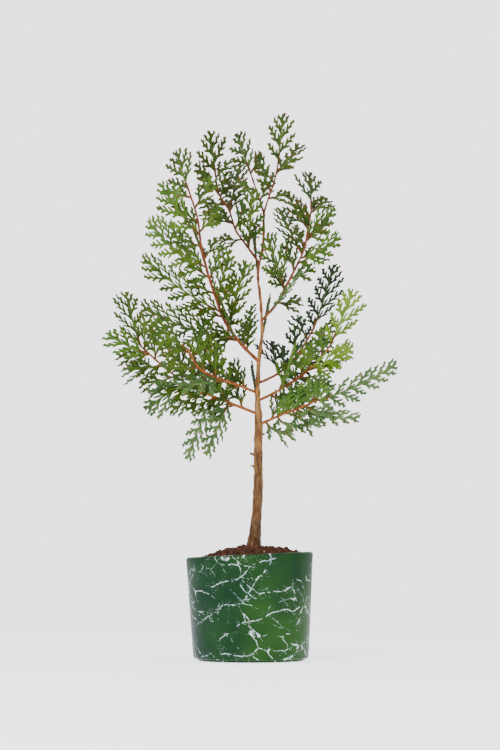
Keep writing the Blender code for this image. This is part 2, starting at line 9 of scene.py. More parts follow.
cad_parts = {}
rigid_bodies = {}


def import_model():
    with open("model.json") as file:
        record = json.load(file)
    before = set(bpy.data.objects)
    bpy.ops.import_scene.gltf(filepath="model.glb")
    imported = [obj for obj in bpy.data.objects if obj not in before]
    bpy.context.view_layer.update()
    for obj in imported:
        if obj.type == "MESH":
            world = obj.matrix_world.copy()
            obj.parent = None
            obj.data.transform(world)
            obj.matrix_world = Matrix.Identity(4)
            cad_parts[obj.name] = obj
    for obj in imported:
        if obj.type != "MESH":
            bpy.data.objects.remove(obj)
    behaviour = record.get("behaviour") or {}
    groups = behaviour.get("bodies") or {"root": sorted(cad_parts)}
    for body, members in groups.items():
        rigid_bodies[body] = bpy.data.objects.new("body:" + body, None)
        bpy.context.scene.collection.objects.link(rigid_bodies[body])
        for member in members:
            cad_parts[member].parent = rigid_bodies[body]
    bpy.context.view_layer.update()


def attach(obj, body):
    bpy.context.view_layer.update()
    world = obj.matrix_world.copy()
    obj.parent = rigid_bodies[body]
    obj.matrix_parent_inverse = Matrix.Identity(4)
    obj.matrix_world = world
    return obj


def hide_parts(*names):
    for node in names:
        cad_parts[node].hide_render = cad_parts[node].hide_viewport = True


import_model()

# Looks of a small oriental arborvitae bonsai: glazed pot, soil, bark and scale leaves. Sizes are
# in millimetres and angles in degrees where nothing else is said, and meshes are made in metres.

MM = 0.001

# View, floor and studio, in metres; the studio is a linear colour and a strength
CAMERA_PLACE = (-0.0006, -1.33, 0.064)
CAMERA_PITCH = 94.6
LENS = 106.06
SENSOR_HEIGHT = 36.0
FLOOR_RADIUS = 0.7
FLOOR_SIDES = 96
FLOOR_COLOUR = (236, 237, 243)
FLOOR_ROUGHNESS = 0.6
FLOOR_GLOW = 1.7
STUDIO_SEEN = ((0.93, 0.925, 0.96, 1), 2.9)
STUDIO_LIGHT = ((0.92, 0.93, 1.0, 1), 1.15)

# Soft square lights: name, place and size in metres, power in watts, colour
LIGHT_TARGET = (0, 0, 0.18)
LIGHTS = (
    ("key", (-0.55, -1.1, 0.75), 0.5, 15, (1.0, 0.98, 0.95)),
    ("fill", (1.0, -0.9, 0.4), 1.0, 7, (0.93, 0.95, 1.0)),
    ("top", (0.0, 0.0, 1.3), 1.0, 6, (1.0, 1.0, 1.0)),
)

# Pot
POT_HEIGHT = 63.0
POT_FOOT_RADIUS = 31.5
POT_FOOT_HEIGHT = 1.2
POT_BASE_RADIUS = 34.5
POT_RIM_RADIUS = 38.1
POT_WALL = 4.2
POT_RIM_ROUND = 1.9
POT_BASE_ROUND = 1.6
POT_SLANT = math.radians(2.7)
POT_SHIFT = -0.9
POT_STEPS = 144
POT_DEPTH_SHOWN = 40.0
POT_WALL_STEPS = 12
POT_FOOT_ROUND = 0.3
POT_FOOT_BEVEL = 0.25
POT_SHARP_FROM = 50.0

# Soil
SOIL_EDGE = POT_HEIGHT - 3.2
SOIL_TOP = 66.7
SOIL_SEAT_RADIUS = 7.0
SOIL_HEAP_RADIUS = 33.0
SOIL_FULLNESS = 0.45
SOIL_RINGS = 44
SOIL_STEPS = 120
SOIL_BED_DEPTH = 4.0
SOIL_GAP = 0.3
SOIL_TOP_BAND = 1.9
SOIL_UNEVEN = (-0.3, 0.35)
SOIL_RIPPLE = 0.6
SOIL_RIPPLE_X = (0.45, 1.0)
SOIL_RIPPLE_Y = (0.38, 0.4)

# Loose soil: each shape's count and stretch, then name, pieces for a square metre, smallest and
# largest size, seed and shape
UP_LEAST = 0.3
CRUMB_LUMPS = (0.7, 1.25)
LOOSE_SHAPES = {"crumb": (5, 1.0), "straw": (3, 4.0)}
LOOSE_SOIL = (
    ("soil_crumbs", 420000.0, (0.8, 2.3), 3, "crumb"),
    ("soil_lumps", 45000.0, (2.2, 4.6), 8, "crumb"),
    ("soil_straw", 9000.0, (0.35, 0.7), 11, "straw"),
)

# Trunk: foot, length, headings in the picture plane, drift to the back, radii
TRUNK_FOOT = (1.4, 0.0, 67.0)
TRUNK_LENGTH = 204.0
TRUNK_HEADINGS = (84, 87, 90, 89, 92, 88, 84, 92, 95, 80, 89)
TRUNK_DRIFT = 4.0
TRUNK_RADII = (4.0, 3.1, 2.9, 2.6, 2.6, 1.6, 1.25, 1.0, 0.9, 0.8, 0.75, 0.7)
FLARE_HEIGHT = 4.5
FLARE_SPREAD = 0.3
FLARE_ROOTS = 5
FLARE_TURN = 0.6

# Stubs of lost twigs: place on the trunk, heading seen from above, length, radius
TRUNK_STUBS = (
    (0.27, 188, 2.6, 0.75), (0.235, 172, 2.0, 0.6), (0.33, 20, 1.8, 0.6), (0.3, 95, 1.6, 0.6),
)
STUB_DEPTH = 0.6
STUB_RISE = 0.35
STUB_CAP = 0.8
STUB_RADII = (1.5, 1.0, 0.6)

# Bark relief of limbs: sides, step along the limb, height of its lumps and of its fissures
TRACK_STEP = 2.0
TRUNK_FORM = (44, 0.5, 1.1, 0.55)
BOUGH_FORM = (14, 0.8, 0.55, 0.25)
STEM_FORM = (8, 1.0, 0.35, 0.15)
CORE_FORM = (5, 1.6, 0.1, 0.05)
FISSURE_STRETCH = (1.0, 1.0, 0.28)

# Boughs: name, place on the trunk, length, headings, drift to the back, root and tip radius
BOUGHS = (
    ("left_bough", 0.55, 111, (135, 126, 111, 108, 103, 98, 108), -27, 1.1, 0.6),
    ("inner_bough", 0.847, 65, (124, 124, 107, 120, 100), 20, 0.8, 0.55),
    ("right_bough", 0.675, 79, (49, 62, 63, 66, 79, 81), 18, 0.9, 0.55),
    ("left_leader", 1.0, 29, (107, 107, 108), 10, 0.65, 0.5),
    ("right_leader", 1.0, 30, (72, 70, 78), -11, 0.65, 0.5),
    ("low_left_upper", 0.458, 50, (160, 163, 154, 121), -24, 0.9, 0.6),
    ("low_left_long", 0.395, 84, (158, 157, 145, 138), 12, 1.0, 0.6),
    ("low_right_upper", 0.486, 50, (27, 41, 54, 60), 20, 0.85, 0.6),
    ("low_right_middle", 0.434, 55, (26, 32, 38, 51), -12, 0.9, 0.6),
    ("low_right_lowest", 0.364, 36, (21, 22, 18, 23), -22, 0.9, 0.6),
)

# Sprays: name, limb, place on it, heading of the stem in the picture plane, its length, spread to
# the left and to the right, lean to the back, turn about the stem, and the tone of its leaves
SPRAYS = (
    ("tip_right", "right_leader", 1.00, 85, 29, 11, 10, -18, 38, "crown"),
    ("tip_right_side", "right_leader", 0.80, 54, 28, 6, 8, 30, -38, "crown"),
    ("tip_inner_side", "right_leader", 0.43, 112, 26, 7, 6, -38, 38, "crown"),
    ("tip_left", "left_leader", 1.00, 106, 28, 10, 9, 25, -38, "crown"),
    ("inner_top", "inner_bough", 1.00, 96, 26, 14, 12, -22, 38, "crown"),
    ("inner_right", "inner_bough", 0.61, 80, 43, 11, 10, 36, -38, "crown"),
    ("inner_left", "inner_bough", 0.79, 129, 26, 7, 6, -36, 38, "crown"),
    ("inner_left_low", "inner_bough", 0.47, 155, 24, 6, 11, 30, 38, "mid"),
    ("inner_fan", "inner_bough", 0.18, 87, 41, 11, 11, -38, -38, "mid"),
    ("left_top", "left_bough", 1.00, 107, 29, 13, 10, 22, -38, "crown"),
    ("left_high", "left_bough", 0.76, 131, 40, 12, 12, -25, 38, "fresh"),
    ("left_mid", "left_bough", 0.53, 135, 63, 12, 15, 30, -38, "fresh"),
    ("left_low", "left_bough", 0.34, 149, 62, 12, 12, -28, 38, "mid"),
    ("left_lowest", "left_bough", 0.16, 159, 73, 12, 13, 25, -38, "mid"),
    ("left_inside_mid", "left_bough", 0.41, 73, 36, 9, 9, -40, -38, "mid"),
    ("left_inside", "left_bough", 0.26, 73, 42, 10, 9, -25, 38, "mid"),
    ("left_inside_low", "left_bough", 0.09, 85, 37, 7, 6, 38, -38, "fresh"),
    ("right_top", "right_bough", 1.00, 91, 26, 11, 12, 24, 38, "crown"),
    ("right_outer_high", "right_bough", 0.73, 51, 35, 9, 9, 32, 38, "fresh"),
    ("right_inner_high", "right_bough", 0.83, 125, 29, 7, 7, -38, -38, "crown"),
    ("right_inner_mid", "right_bough", 0.62, 112, 43, 9, 9, 36, 38, "mid"),
    ("right_outer_low", "right_bough", 0.54, 27, 34, 9, 9, -32, -38, "fresh"),
    ("right_fan", "right_bough", 0.31, 110, 39, 12, 12, -38, 38, "mid"),
    ("right_edge", "right_bough", 0.12, 51, 33, 5, 5, -35, 72, "pale"),
    # The two rear sprays on low_right_upper take the darkest green, which is painted shade.
    ("right_rear_top", "low_right_upper", 1.00, 72, 48, 11, 11, 24, -38, "deep"),
    ("right_rear_inner", "low_right_upper", 0.28, 102, 27, 13, 12, 40, 38, "deep"),
    ("right_front_top", "low_right_middle", 1.00, 69, 37, 10, 13, -22, 38, "bright"),
    ("right_front_outer", "low_right_middle", 0.65, 24, 35, 11, 10, -36, -38, "bright"),
    ("right_front_inner", "low_right_middle", 0.53, 71, 29, 6, 6, 38, -38, "bright"),
    ("right_skirt_top", "low_right_lowest", 1.00, 25, 57, 9, 10, 18, 38, "pale"),
    ("right_skirt_down", "low_right_lowest", 0.65, -10, 41, 9, 7, -22, -38, "pale"),
    ("right_skirt_up", "low_right_lowest", 0.28, 34, 42, 12, 10, -35, 38, "fresh"),
    ("left_skirt_tip", "low_left_long", 1.00, 108, 39, 11, 10, 24, 38, "mid"),
    ("left_skirt_out", "low_left_long", 0.92, 156, 31, 9, 9, -28, -38, "fresh"),
    ("left_skirt_mid", "low_left_long", 0.80, 184, 28, 11, 11, 34, 38, "pale"),
    ("left_skirt_inner", "low_left_long", 0.56, 214, 32, 12, 11, -25, -38, "pale"),
    ("left_skirt_down", "low_left_long", 0.35, 246, 45, 8, 9, 28, 38, "pale"),
    ("left_skirt_near", "low_left_long", 0.23, 250, 42, 7, 10, -35, -38, "pale"),
    ("left_cover", "low_left_upper", 1.00, 145, 31, 11, 11, -30, 38, "mid"),
    ("left_cover_up", "low_left_upper", 0.53, 88, 27, 8, 8, -45, -38, "mid"),
    ("left_cover_out", "low_left_upper", 0.45, 186, 34, 9, 9, -34, 38, "pale"),
    # back_low takes the darkest green, which is painted shade for the back of the crown.
    ("back_low", "trunk", 0.42, 100, 58, 13, 13, 66, 90, "deep"),
    ("back_middle", "trunk", 0.62, 80, 54, 13, 13, 60, 90, "mid"),
    ("back_high", "trunk", 0.80, 95, 48, 12, 12, 55, 90, "crown"),
    ("fore_left", "left_bough", 0.21, 110, 46, 11, 11, -62, 90, "mid"),
    ("fore_right", "low_right_middle", 0.30, 70, 42, 11, 11, -62, 90, "fresh"),
    ("back_left", "left_bough", 0.64, 110, 42, 11, 11, 60, 90, "mid"),
)

# Short sprays straight on the boughs: limb, first and last place, how many, length, spread, tone
BOUGH_TWIGS = (
    ("left_bough", 0.12, 0.97, 14, 21, 8, "mid"),
    ("inner_bough", 0.2, 0.96, 9, 18, 8, "crown"),
    ("right_bough", 0.2, 0.96, 9, 19, 8, "crown"),
    ("left_leader", 0.25, 0.9, 3, 14, 6, "crown"),
    ("right_leader", 0.3, 0.92, 3, 14, 6, "crown"),
    ("low_left_upper", 0.15, 0.95, 10, 24, 9, "mid"),
    ("low_left_long", 0.12, 0.97, 15, 25, 9, "mid"),
    # The twigs of low_right_upper take the darkest green, which is painted shade.
    ("low_right_upper", 0.25, 0.95, 7, 19, 8, "deep"),
    ("low_right_middle", 0.15, 0.95, 9, 20, 8, "fresh"),
    ("low_right_lowest", 0.12, 0.95, 8, 22, 8, "pale"),
)
TWIG_ANGLE = 46.0
TWIG_LEAN = 32.0
TWIG_TURN = 38
TWIG_PLACE_VARIES = 0.2
TWIG_ANGLE_VARIES = 7.0
TWIG_LEAN_SHARE = (0.5, 1.1)
TWIG_LENGTH_SHARE = (0.8, 1.1)

# One spray. Rows go by order: the stem, its side shoots, their shoots and the forks of those
STEM_BEND = 0.35
STEM_HANGS = -0.3
STEM_RADII = (0.75, 0.42)
WOODY_SHARE = 0.14
SPREAD_SCALE = 1.36
SPREAD_RISE = (0.65, 1.6)
SPREAD_TAPER = (0.85, 0.6)
SPREAD_VARIES = (0.86, 1.06)
SHOOT_ANGLE = (46.0, 34.0)
ANGLE_VARIES = 4.0
SHOOT_STEP = (1.55, 0.16)
FIRST_SHOOT = (2.5, 1.9, 1.5)
LAST_SHOOT = (2.6, 1.9, 1.7)
CHILD_SHARE = (0.0, 0.38, 0.42)
CHILD_MOST = (0.0, 5.6, 2.3)
CHILD_LEAST = (3.0, 2.0, 1.8)
CHILD_ANGLE = (0.0, 37.0, 35.0)
FORK_PARENT_LEAST = {"crown": 4.2}
FORK_PARENT_ELSEWHERE = 9.0
CHILD_TAPER = 0.6
CHILD_VARIES = (0.9, 1.1)
REACH_TO_TIP = (0.85, 1.6)
DISTAL_GAIN = 1.14
SHOOT_BEND = 6.0
SHOOT_CURL = 5.0
SHOOT_TILT = 8.0
CORE_RADII = (0.38, 0.24)
CORE_IN_STEM = 0.8

# Joints of scale leaves along a shoot, by order
JOINT_PITCH = (2.1, 1.45, 1.35, 1.25)
JOINT_WIDTH = (1.3, 1.24, 1.22, 1.18)
JOINT_TAPER = (1.08, 0.16)
JOINT_VARIES = (0.93, 1.07)
JOINT_OVERLAP = 1.12
TIP_NARROWS = 0.95
UNIT_PITCH = 1.25
JOINTS_A_PIECE = 5400

# One joint of four scale leaves: x along the shoot, y across it, z off its face. The pairs are for
# a joint along the shoot and for the blunt one that ends it
SIDE_LEAF_REAR = ((-0.1, 0.1, 0.24), (-0.1, 0.1, -0.24), (-0.05, 0.42, 0.0))
SIDE_LEAF_FRONT = ((0.7, 0.16, 0.32), (0.7, 0.16, -0.32))
SIDE_LEAF_WIDEST = ((0.72, 0.7, 0.0), (0.8, 0.7, 0.0))
SIDE_LEAF_TIP = ((1.46, 0.5), (1.36, 0.5))
FACE_LEAF_REAR = (-0.15, 0.16)
FACE_LEAF_SIDE = (0.5, 0.4, 0.2)
FACE_LEAF_PEAK = (0.62, 0.46)
FACE_LEAF_TIP = ((1.3, 0.26), (1.05, 0.26))

# Leaf tones in sRGB: colour, its lighter mate, how much of the tips is bronze
TONES = {
    "crown": ((40, 64, 4), (60, 86, 8), 0.6),
    "mid": ((46, 74, 4), (74, 100, 8), 0.14),
    "fresh": ((60, 94, 16), (86, 120, 24), 0.1),
    "bright": ((88, 120, 18), (116, 146, 30), 0.06),
    "pale": ((62, 92, 42), (88, 116, 58), 0.08),
    # The darkest green is painted shade: a shaded copy of the foliage green for the sprays at the
    # back.
    "deep": ((24, 50, 18), (40, 68, 26), 0.05),
}
BRONZE = ((84, 60, 10), (112, 78, 18))
CORE_GREENS = ((86, 108, 44), (112, 116, 52))

# Leaf finish: inputs of its mottlings in metres, and a relief's strength and distance
LEAF_PATCHES = {"Scale": 110.0, "Low": 0.38, "High": 0.62}
LEAF_PORES = {"Scale": 1500.0, "Low": 0.3, "High": 0.7}
LEAF_PORE_SHADE = 0.22
LEAF_SPECULAR = 0.22
LEAF_ROUGHNESS = (0.42, 0.62)
LEAF_RELIEF = (0.25, 0.0001)

# Bark finish; each bark has its colours by height, the scale of its cracks and how dark they are
BARK_HEIGHTS = (0.065, 0.3)
BARK_CRACKS = {"Stretch": (1.0, 1.0, 0.22), "Detail": 4.0, "Low": 0.4, "High": 0.6}
BARK_CRACK_HUE = (1.0, 0.85, 0.75)
BARK_PATCHES = {
    "Scale": 190.0, "Stretch": (1.0, 1.0, 0.5), "Low": 0.42, "High": 0.66,
    "Colour A": (0.72, 0.7, 0.68, 1), "Colour B": (1.25, 1.16, 1.02, 1),
}
BARK_SPECULAR = 0.3
BARK_ROUGHNESS = (0.92, 0.66)
BARK_RELIEF = (0.6, 0.0002)
BARKS = {
    "trunk_bark": ((
        (0.0, (98, 68, 34)), (0.3, (122, 86, 44)), (0.36, (164, 124, 68)),
        (0.55, (166, 116, 62)), (0.75, (134, 74, 34)), (1.0, (110, 58, 28)),
    ), 650.0, 0.45),
    "bough_bark": ((
        (0.0, (136, 84, 36)), (0.4, (150, 88, 38)), (0.7, (126, 64, 28)), (1.0, (98, 52, 24)),
    ), 900.0, 0.62),
    "stem_bark": ((
        (0.0, (104, 78, 30)), (0.5, (108, 76, 30)), (1.0, (88, 60, 26)),
    ), 1100.0, 0.7),
}

# Soil finishes: dark and light colour, scale of the grains
SOIL_FINISHES = {
    "peat": ((34, 18, 12), (82, 46, 30), 700.0),
    "peat_crumbs": ((44, 24, 16), (98, 58, 38), 900.0),
    "straw_bits": ((120, 92, 58), (176, 142, 96), 600.0),
}
SOIL_GRAINS = {"Detail": 6.0, "Low": 0.35, "High": 0.7}
SOIL_SPECULAR = 0.2
SOIL_DULLNESS = 0.95
SOIL_RELIEF = (0.8, 0.0006)

# Glaze: its ground, which turns bluish to the left, and its gloss
GLAZE_GROUND = {"Scale": 26.0, "Detail": 4.0, "Low": 0.36, "High": 0.64}
GLAZE_GREENS = ((12, 44, 20), (34, 68, 22))
GLAZE_BLUISH = (4, 36, 32)
GLAZE_BLUISH_RANGE = {"From Min": -0.005, "From Max": -0.036, "To Max": 0.55}
GLAZE_ROUGHNESS = 0.34
GLAZE_SPECULAR = 0.07
GLAZE_RELIEF = (0.12, 0.0004)

# Marble veins: long ones, short ones, and specks of white in a wider zone along the long ones
LONG_VEINS = {
    "Scale": 44.0, "Width": 0.018, "Cover": 0.47, "Slant": (0.0, 0.42, 0.0),
    "Stretch": (0.5, 0.5, 1.5), "Shift": (0.31, 0.05, 0.12),
}
SHORT_VEINS = {
    "Scale": 95.0, "Width": 0.024, "Cover": 0.48, "Slant": (0.0, -0.6, 0.0),
    "Stretch": (0.6, 0.6, 1.3), "Shift": (0.77, 0.4, 0.9),
}
SPECK_ZONE = {**LONG_VEINS, "Width": 0.2, "Cover": 0.44}
SPECKS = {"Scale": 1300.0, "Detail": 2.0, "Low": 0.62, "High": 0.68}
SPECK_STRENGTH = 0.6
VEIN_WHITES = ((196, 222, 226), (236, 244, 240))
VEIN_TINT_SCALE = 60.0
VEIN_WARP = {"Scale": 60.0, "Detail": 3.0, "Roughness": 0.5}
VEIN_WARP_REACH = 0.012
VEIN_PATCHES = {"Scale": 42.0, "Detail": 2.0}
VEIN_PATCH_EDGE = 12.0
VEIN_BREAKS = {"Scale": 420.0, "Detail": 3.0}
VEIN_BREAK_RANGE = {"From Min": 0.42, "From Max": 0.56}


def linear(colour):
    """Linear colour with alpha of an sRGB colour given from 0 to 255."""
    shares = [value / 255 for value in colour]
    return tuple(
        share / 12.92 if share <= 0.04045 else ((share + 0.055) / 1.055) ** 2.4
        for share in shares
    ) + (1.0,)


# Making objects

def add_object(name, data):
    """Links new data to the scene as an object at the origin."""
    obj = bpy.data.objects.new(name, data)
    bpy.context.scene.collection.objects.link(obj)
    return obj


def dress(obj, slot, *nodes):
    """Rides a finished piece on the plant's body and hides the nodes it replaces; slot is not used.
    """
    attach(obj, "root")
    if nodes:
        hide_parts(*nodes)
    return obj


def baked(obj, name):
    """A plain mesh object from an object with modifiers, which is removed."""
    bpy.context.view_layer.update()
    evaluated = obj.evaluated_get(bpy.context.evaluated_depsgraph_get())
    mesh = bpy.data.meshes.new_from_object(evaluated)
    bpy.data.objects.remove(obj)
    mesh.name = name
    return add_object(name, mesh)


def curve_object(name, tracks):
    """A curve object of poly splines from tracks of points and radii in mm."""
    curve = bpy.data.curves.new(name, "CURVE")
    curve.dimensions = "3D"
    for points, radii in tracks:
        spline = curve.splines.new("POLY")
        spline.points.add(len(points) - 1)
        for target, place, radius in zip(spline.points, points, radii):
            target.co = (*(Vector(place) * MM), 1)
            target.radius = radius * MM
    return add_object(name, curve)


# Node trees

def new_node(tree, kind, inputs=(), **values):
    """A node with its properties and its unlinked inputs set."""
    node = tree.nodes.new(kind)
    for key, value in values.items():
        setattr(node, key, value)
    for key, value in dict(inputs).items():
        node.inputs[key].default_value = value
    return node


def join(tree, *pairs):
    """Links outputs to inputs, given in pairs."""
    for source, target in zip(pairs[::2], pairs[1::2]):
        tree.links.new(source, target)


def group_with(name, kind, inputs, outputs):
    """A node group with named sockets; gives it, what it is given and what it puts out."""
    tree = bpy.data.node_groups.new(name, kind)
    for label, socket, value in inputs:
        made = tree.interface.new_socket(
            name=label, in_out="INPUT", socket_type=f"NodeSocket{socket}")
        if value is not None:
            made.default_value = value
    for label, socket in outputs:
        tree.interface.new_socket(
            name=label, in_out="OUTPUT", socket_type=f"NodeSocket{socket}")
    given = tree.nodes.new("NodeGroupInput").outputs
    result = tree.nodes.new("NodeGroupOutput").inputs
    return tree, given, result


def with_modifier(obj, tree, values):
    """Gives an object the geometry group with its named inputs set."""
    modifier = obj.modifiers.new(tree.name, "NODES")
    modifier.node_group = tree
    for item in tree.interface.items_tree:
        if item.item_type == "SOCKET" and item.in_out == "INPUT" and item.name in values:
            modifier[item.identifier] = values[item.name]
    return obj


# Shader groups

def build_grain_group():
    """Mottling: mixes two colours by a stretched noise and puts out its height."""
    tree, given, result = group_with(
        "mottling", "ShaderNodeTree",
        (
            ("Vector", "Vector", None),
            ("Stretch", "Vector", (1.0, 1.0, 1.0)),
            ("Scale", "Float", 300.0),
            ("Detail", "Float", 3.0),
            ("Low", "Float", 0.35),
            ("High", "Float", 0.65),
            ("Colour A", "Color", (0, 0, 0, 1)),
            ("Colour B", "Color", (1, 1, 1, 1)),
        ),
        (("Colour", "Color"), ("Mask", "Float")),
    )
    stretch = new_node(tree, "ShaderNodeVectorMath", operation="MULTIPLY")
    grain = new_node(tree, "ShaderNodeTexNoise")
    spread = new_node(tree, "ShaderNodeMapRange")
    mix = new_node(tree, "ShaderNodeMix", data_type="RGBA")
    join(
        tree, given["Vector"], stretch.inputs[0], given["Stretch"], stretch.inputs[1],
        stretch.outputs[0], grain.inputs["Vector"], given["Scale"], grain.inputs["Scale"],
        given["Detail"], grain.inputs["Detail"], grain.outputs[0], spread.inputs["Value"],
        given["Low"], spread.inputs["From Min"],
        given["High"], spread.inputs["From Max"],
        spread.outputs[0], mix.inputs[0], given["Colour A"], mix.inputs[6],
        given["Colour B"], mix.inputs[7], mix.outputs[2], result["Colour"],
        spread.outputs[0], result["Mask"],
    )
    return tree


def build_vein_group():
    """Marble veins: thin broken edges of slanted, warped cells."""
    tree, given, result = group_with(
        "marble_veins", "ShaderNodeTree",
        (
            ("Vector", "Vector", None),
            ("Shift", "Vector", (0.0, 0.0, 0.0)),
            ("Slant", "Vector", (0.0, 0.6, 0.0)),
            ("Stretch", "Vector", (1.0, 1.0, 2.4)),
            ("Scale", "Float", 30.0),
            ("Width", "Float", 0.02),
            ("Cover", "Float", 0.5),
        ),
        (("Mask", "Float"),),
    )
    place = new_node(tree, "ShaderNodeVectorMath", operation="ADD")
    warp = new_node(tree, "ShaderNodeTexNoise", VEIN_WARP)
    centred = new_node(tree, "ShaderNodeVectorMath", {1: (0.5, 0.5, 0.5)}, operation="SUBTRACT")
    bent = new_node(tree, "ShaderNodeVectorMath", {1: (VEIN_WARP_REACH,) * 3}, operation="MULTIPLY")
    warped = new_node(tree, "ShaderNodeVectorMath", operation="ADD")
    turn = new_node(tree, "ShaderNodeVectorRotate", rotation_type="EULER_XYZ")
    stretch = new_node(tree, "ShaderNodeVectorMath", operation="MULTIPLY")
    cells = new_node(tree, "ShaderNodeTexVoronoi", feature="DISTANCE_TO_EDGE")
    edge = new_node(tree, "ShaderNodeMapRange", {"From Min": 0.0, "To Min": 1.0, "To Max": 0.0})
    patch = new_node(tree, "ShaderNodeTexNoise", VEIN_PATCHES)
    breaks = new_node(tree, "ShaderNodeTexNoise", VEIN_BREAKS)
    here = new_node(tree, "ShaderNodeMath", operation="SUBTRACT")
    sharp = new_node(
        tree, "ShaderNodeMath", {1: VEIN_PATCH_EDGE}, operation="MULTIPLY", use_clamp=True)
    broken = new_node(tree, "ShaderNodeMapRange", VEIN_BREAK_RANGE)
    both = new_node(tree, "ShaderNodeMath", operation="MULTIPLY")
    every = new_node(tree, "ShaderNodeMath", operation="MULTIPLY")
    join(
        tree, given["Vector"], place.inputs[0], given["Shift"], place.inputs[1],
        place.outputs[0], warp.inputs["Vector"], warp.outputs["Color"], centred.inputs[0],
        centred.outputs[0], bent.inputs[0], place.outputs[0], warped.inputs[0],
        bent.outputs[0], warped.inputs[1], warped.outputs[0], turn.inputs["Vector"],
        given["Slant"], turn.inputs["Rotation"],
        turn.outputs[0], stretch.inputs[0], given["Stretch"], stretch.inputs[1],
        stretch.outputs[0], cells.inputs["Vector"], given["Scale"], cells.inputs["Scale"],
        cells.outputs["Distance"], edge.inputs["Value"], given["Width"], edge.inputs["From Max"],
        place.outputs[0], patch.inputs["Vector"], patch.outputs[0], here.inputs[0],
        given["Cover"], here.inputs[1], here.outputs[0], sharp.inputs[0],
        place.outputs[0], breaks.inputs["Vector"], breaks.outputs[0], broken.inputs["Value"],
        edge.outputs[0], both.inputs[0], sharp.outputs[0], both.inputs[1],
        both.outputs[0], every.inputs[0], broken.outputs[0], every.inputs[1],
        every.outputs[0], result["Mask"],
    )
    return tree


GRAIN = build_grain_group()
VEINS = build_vein_group()


def new_material(name, **values):
    """A Principled material with its plain sockets set; gives it, its tree and its shader."""
    material = bpy.data.materials.new(name)
    material.use_nodes = True
    tree = material.node_tree
    shader = tree.nodes["Principled BSDF"]
    for key, value in values.items():
        shader.inputs[key.replace("_", " ")].default_value = value
    return material, tree, shader


def object_place(tree):
    """Object coordinates in metres."""
    return new_node(tree, "ShaderNodeTexCoord").outputs["Object"]


def placed(tree, group, place, inputs):
    """A group node that reads a place, with its other inputs set."""
    node = new_node(tree, "ShaderNodeGroup", inputs, node_tree=group)
    join(tree, place, node.inputs["Vector"])
    return node


def two_colours(pair):
    """The inputs for a mottling's two colours from a pair in sRGB."""
    return {"Colour A": linear(pair[0]), "Colour B": linear(pair[1])}


def shade_mix(tree, share):
    """A colour mix that multiplies."""
    return new_node(tree, "ShaderNodeMix", {0: share}, data_type="RGBA", blend_type="MULTIPLY")


def add_bump(tree, shader, height, relief):
    """Feeds a height to the shader's normal, from a relief's strength and distance."""
    strength, distance = relief
    bump = new_node(tree, "ShaderNodeBump", {"Strength": strength, "Distance": distance})
    join(tree, height, bump.inputs["Height"], bump.outputs[0], shader.inputs["Normal"])


def roughness_from(tree, shader, mask, ends):
    """Lets a mask change the roughness between two ends."""
    rough = new_node(tree, "ShaderNodeMapRange", {"To Min": ends[0], "To Max": ends[1]})
    join(tree, mask, rough.inputs["Value"], rough.outputs[0], shader.inputs["Roughness"])


def leaf_material(name, pair):
    """Waxy scale leaves: two near greens and a fine grain of pores."""
    material, tree, shader = new_material(name, Specular_IOR_Level=LEAF_SPECULAR)
    place = object_place(tree)
    broad = placed(tree, GRAIN, place, {**LEAF_PATCHES, **two_colours(pair)})
    fine = placed(tree, GRAIN, place, LEAF_PORES)
    shade = shade_mix(tree, LEAF_PORE_SHADE)
    join(
        tree, broad.outputs["Colour"], shade.inputs[6], fine.outputs["Colour"], shade.inputs[7],
        shade.outputs[2], shader.inputs["Base Color"],
    )
    roughness_from(tree, shader, fine.outputs["Mask"], LEAF_ROUGHNESS)
    add_bump(tree, shader, fine.outputs["Mask"], LEAF_RELIEF)
    return material


def bark_material(name):
    """Bark: a base colour that changes with height, dark fissures and pale patches."""
    stops, scale, contrast = BARKS[name]
    material, tree, shader = new_material(name, Roughness=0.8, Specular_IOR_Level=BARK_SPECULAR)
    place = object_place(tree)
    split = new_node(tree, "ShaderNodeSeparateXYZ")
    height = new_node(tree, "ShaderNodeMapRange", {
        "From Min": BARK_HEIGHTS[0], "From Max": BARK_HEIGHTS[1],
    })
    ramp = new_node(tree, "ShaderNodeValToRGB")
    while len(ramp.color_ramp.elements) < len(stops):
        ramp.color_ramp.elements.new(0.5)
    for element, (at, colour) in zip(ramp.color_ramp.elements, stops):
        element.position = at
        element.color = linear(colour)
    dark = tuple(contrast * part for part in BARK_CRACK_HUE) + (1,)
    cracks = placed(tree, GRAIN, place, {
        **BARK_CRACKS, "Scale": scale, "Colour A": dark, "Colour B": (1, 1, 1, 1),
    })
    patches = placed(tree, GRAIN, place, BARK_PATCHES)
    first = shade_mix(tree, 1.0)
    second = shade_mix(tree, 1.0)
    join(
        tree, place, split.inputs[0], split.outputs["Z"], height.inputs["Value"],
        height.outputs[0], ramp.inputs[0], ramp.outputs[0], first.inputs[6],
        cracks.outputs["Colour"], first.inputs[7], first.outputs[2], second.inputs[6],
        patches.outputs["Colour"], second.inputs[7], second.outputs[2], shader.inputs["Base Color"],
    )
    roughness_from(tree, shader, cracks.outputs["Mask"], BARK_ROUGHNESS)
    add_bump(tree, shader, cracks.outputs["Mask"], BARK_RELIEF)
    return material


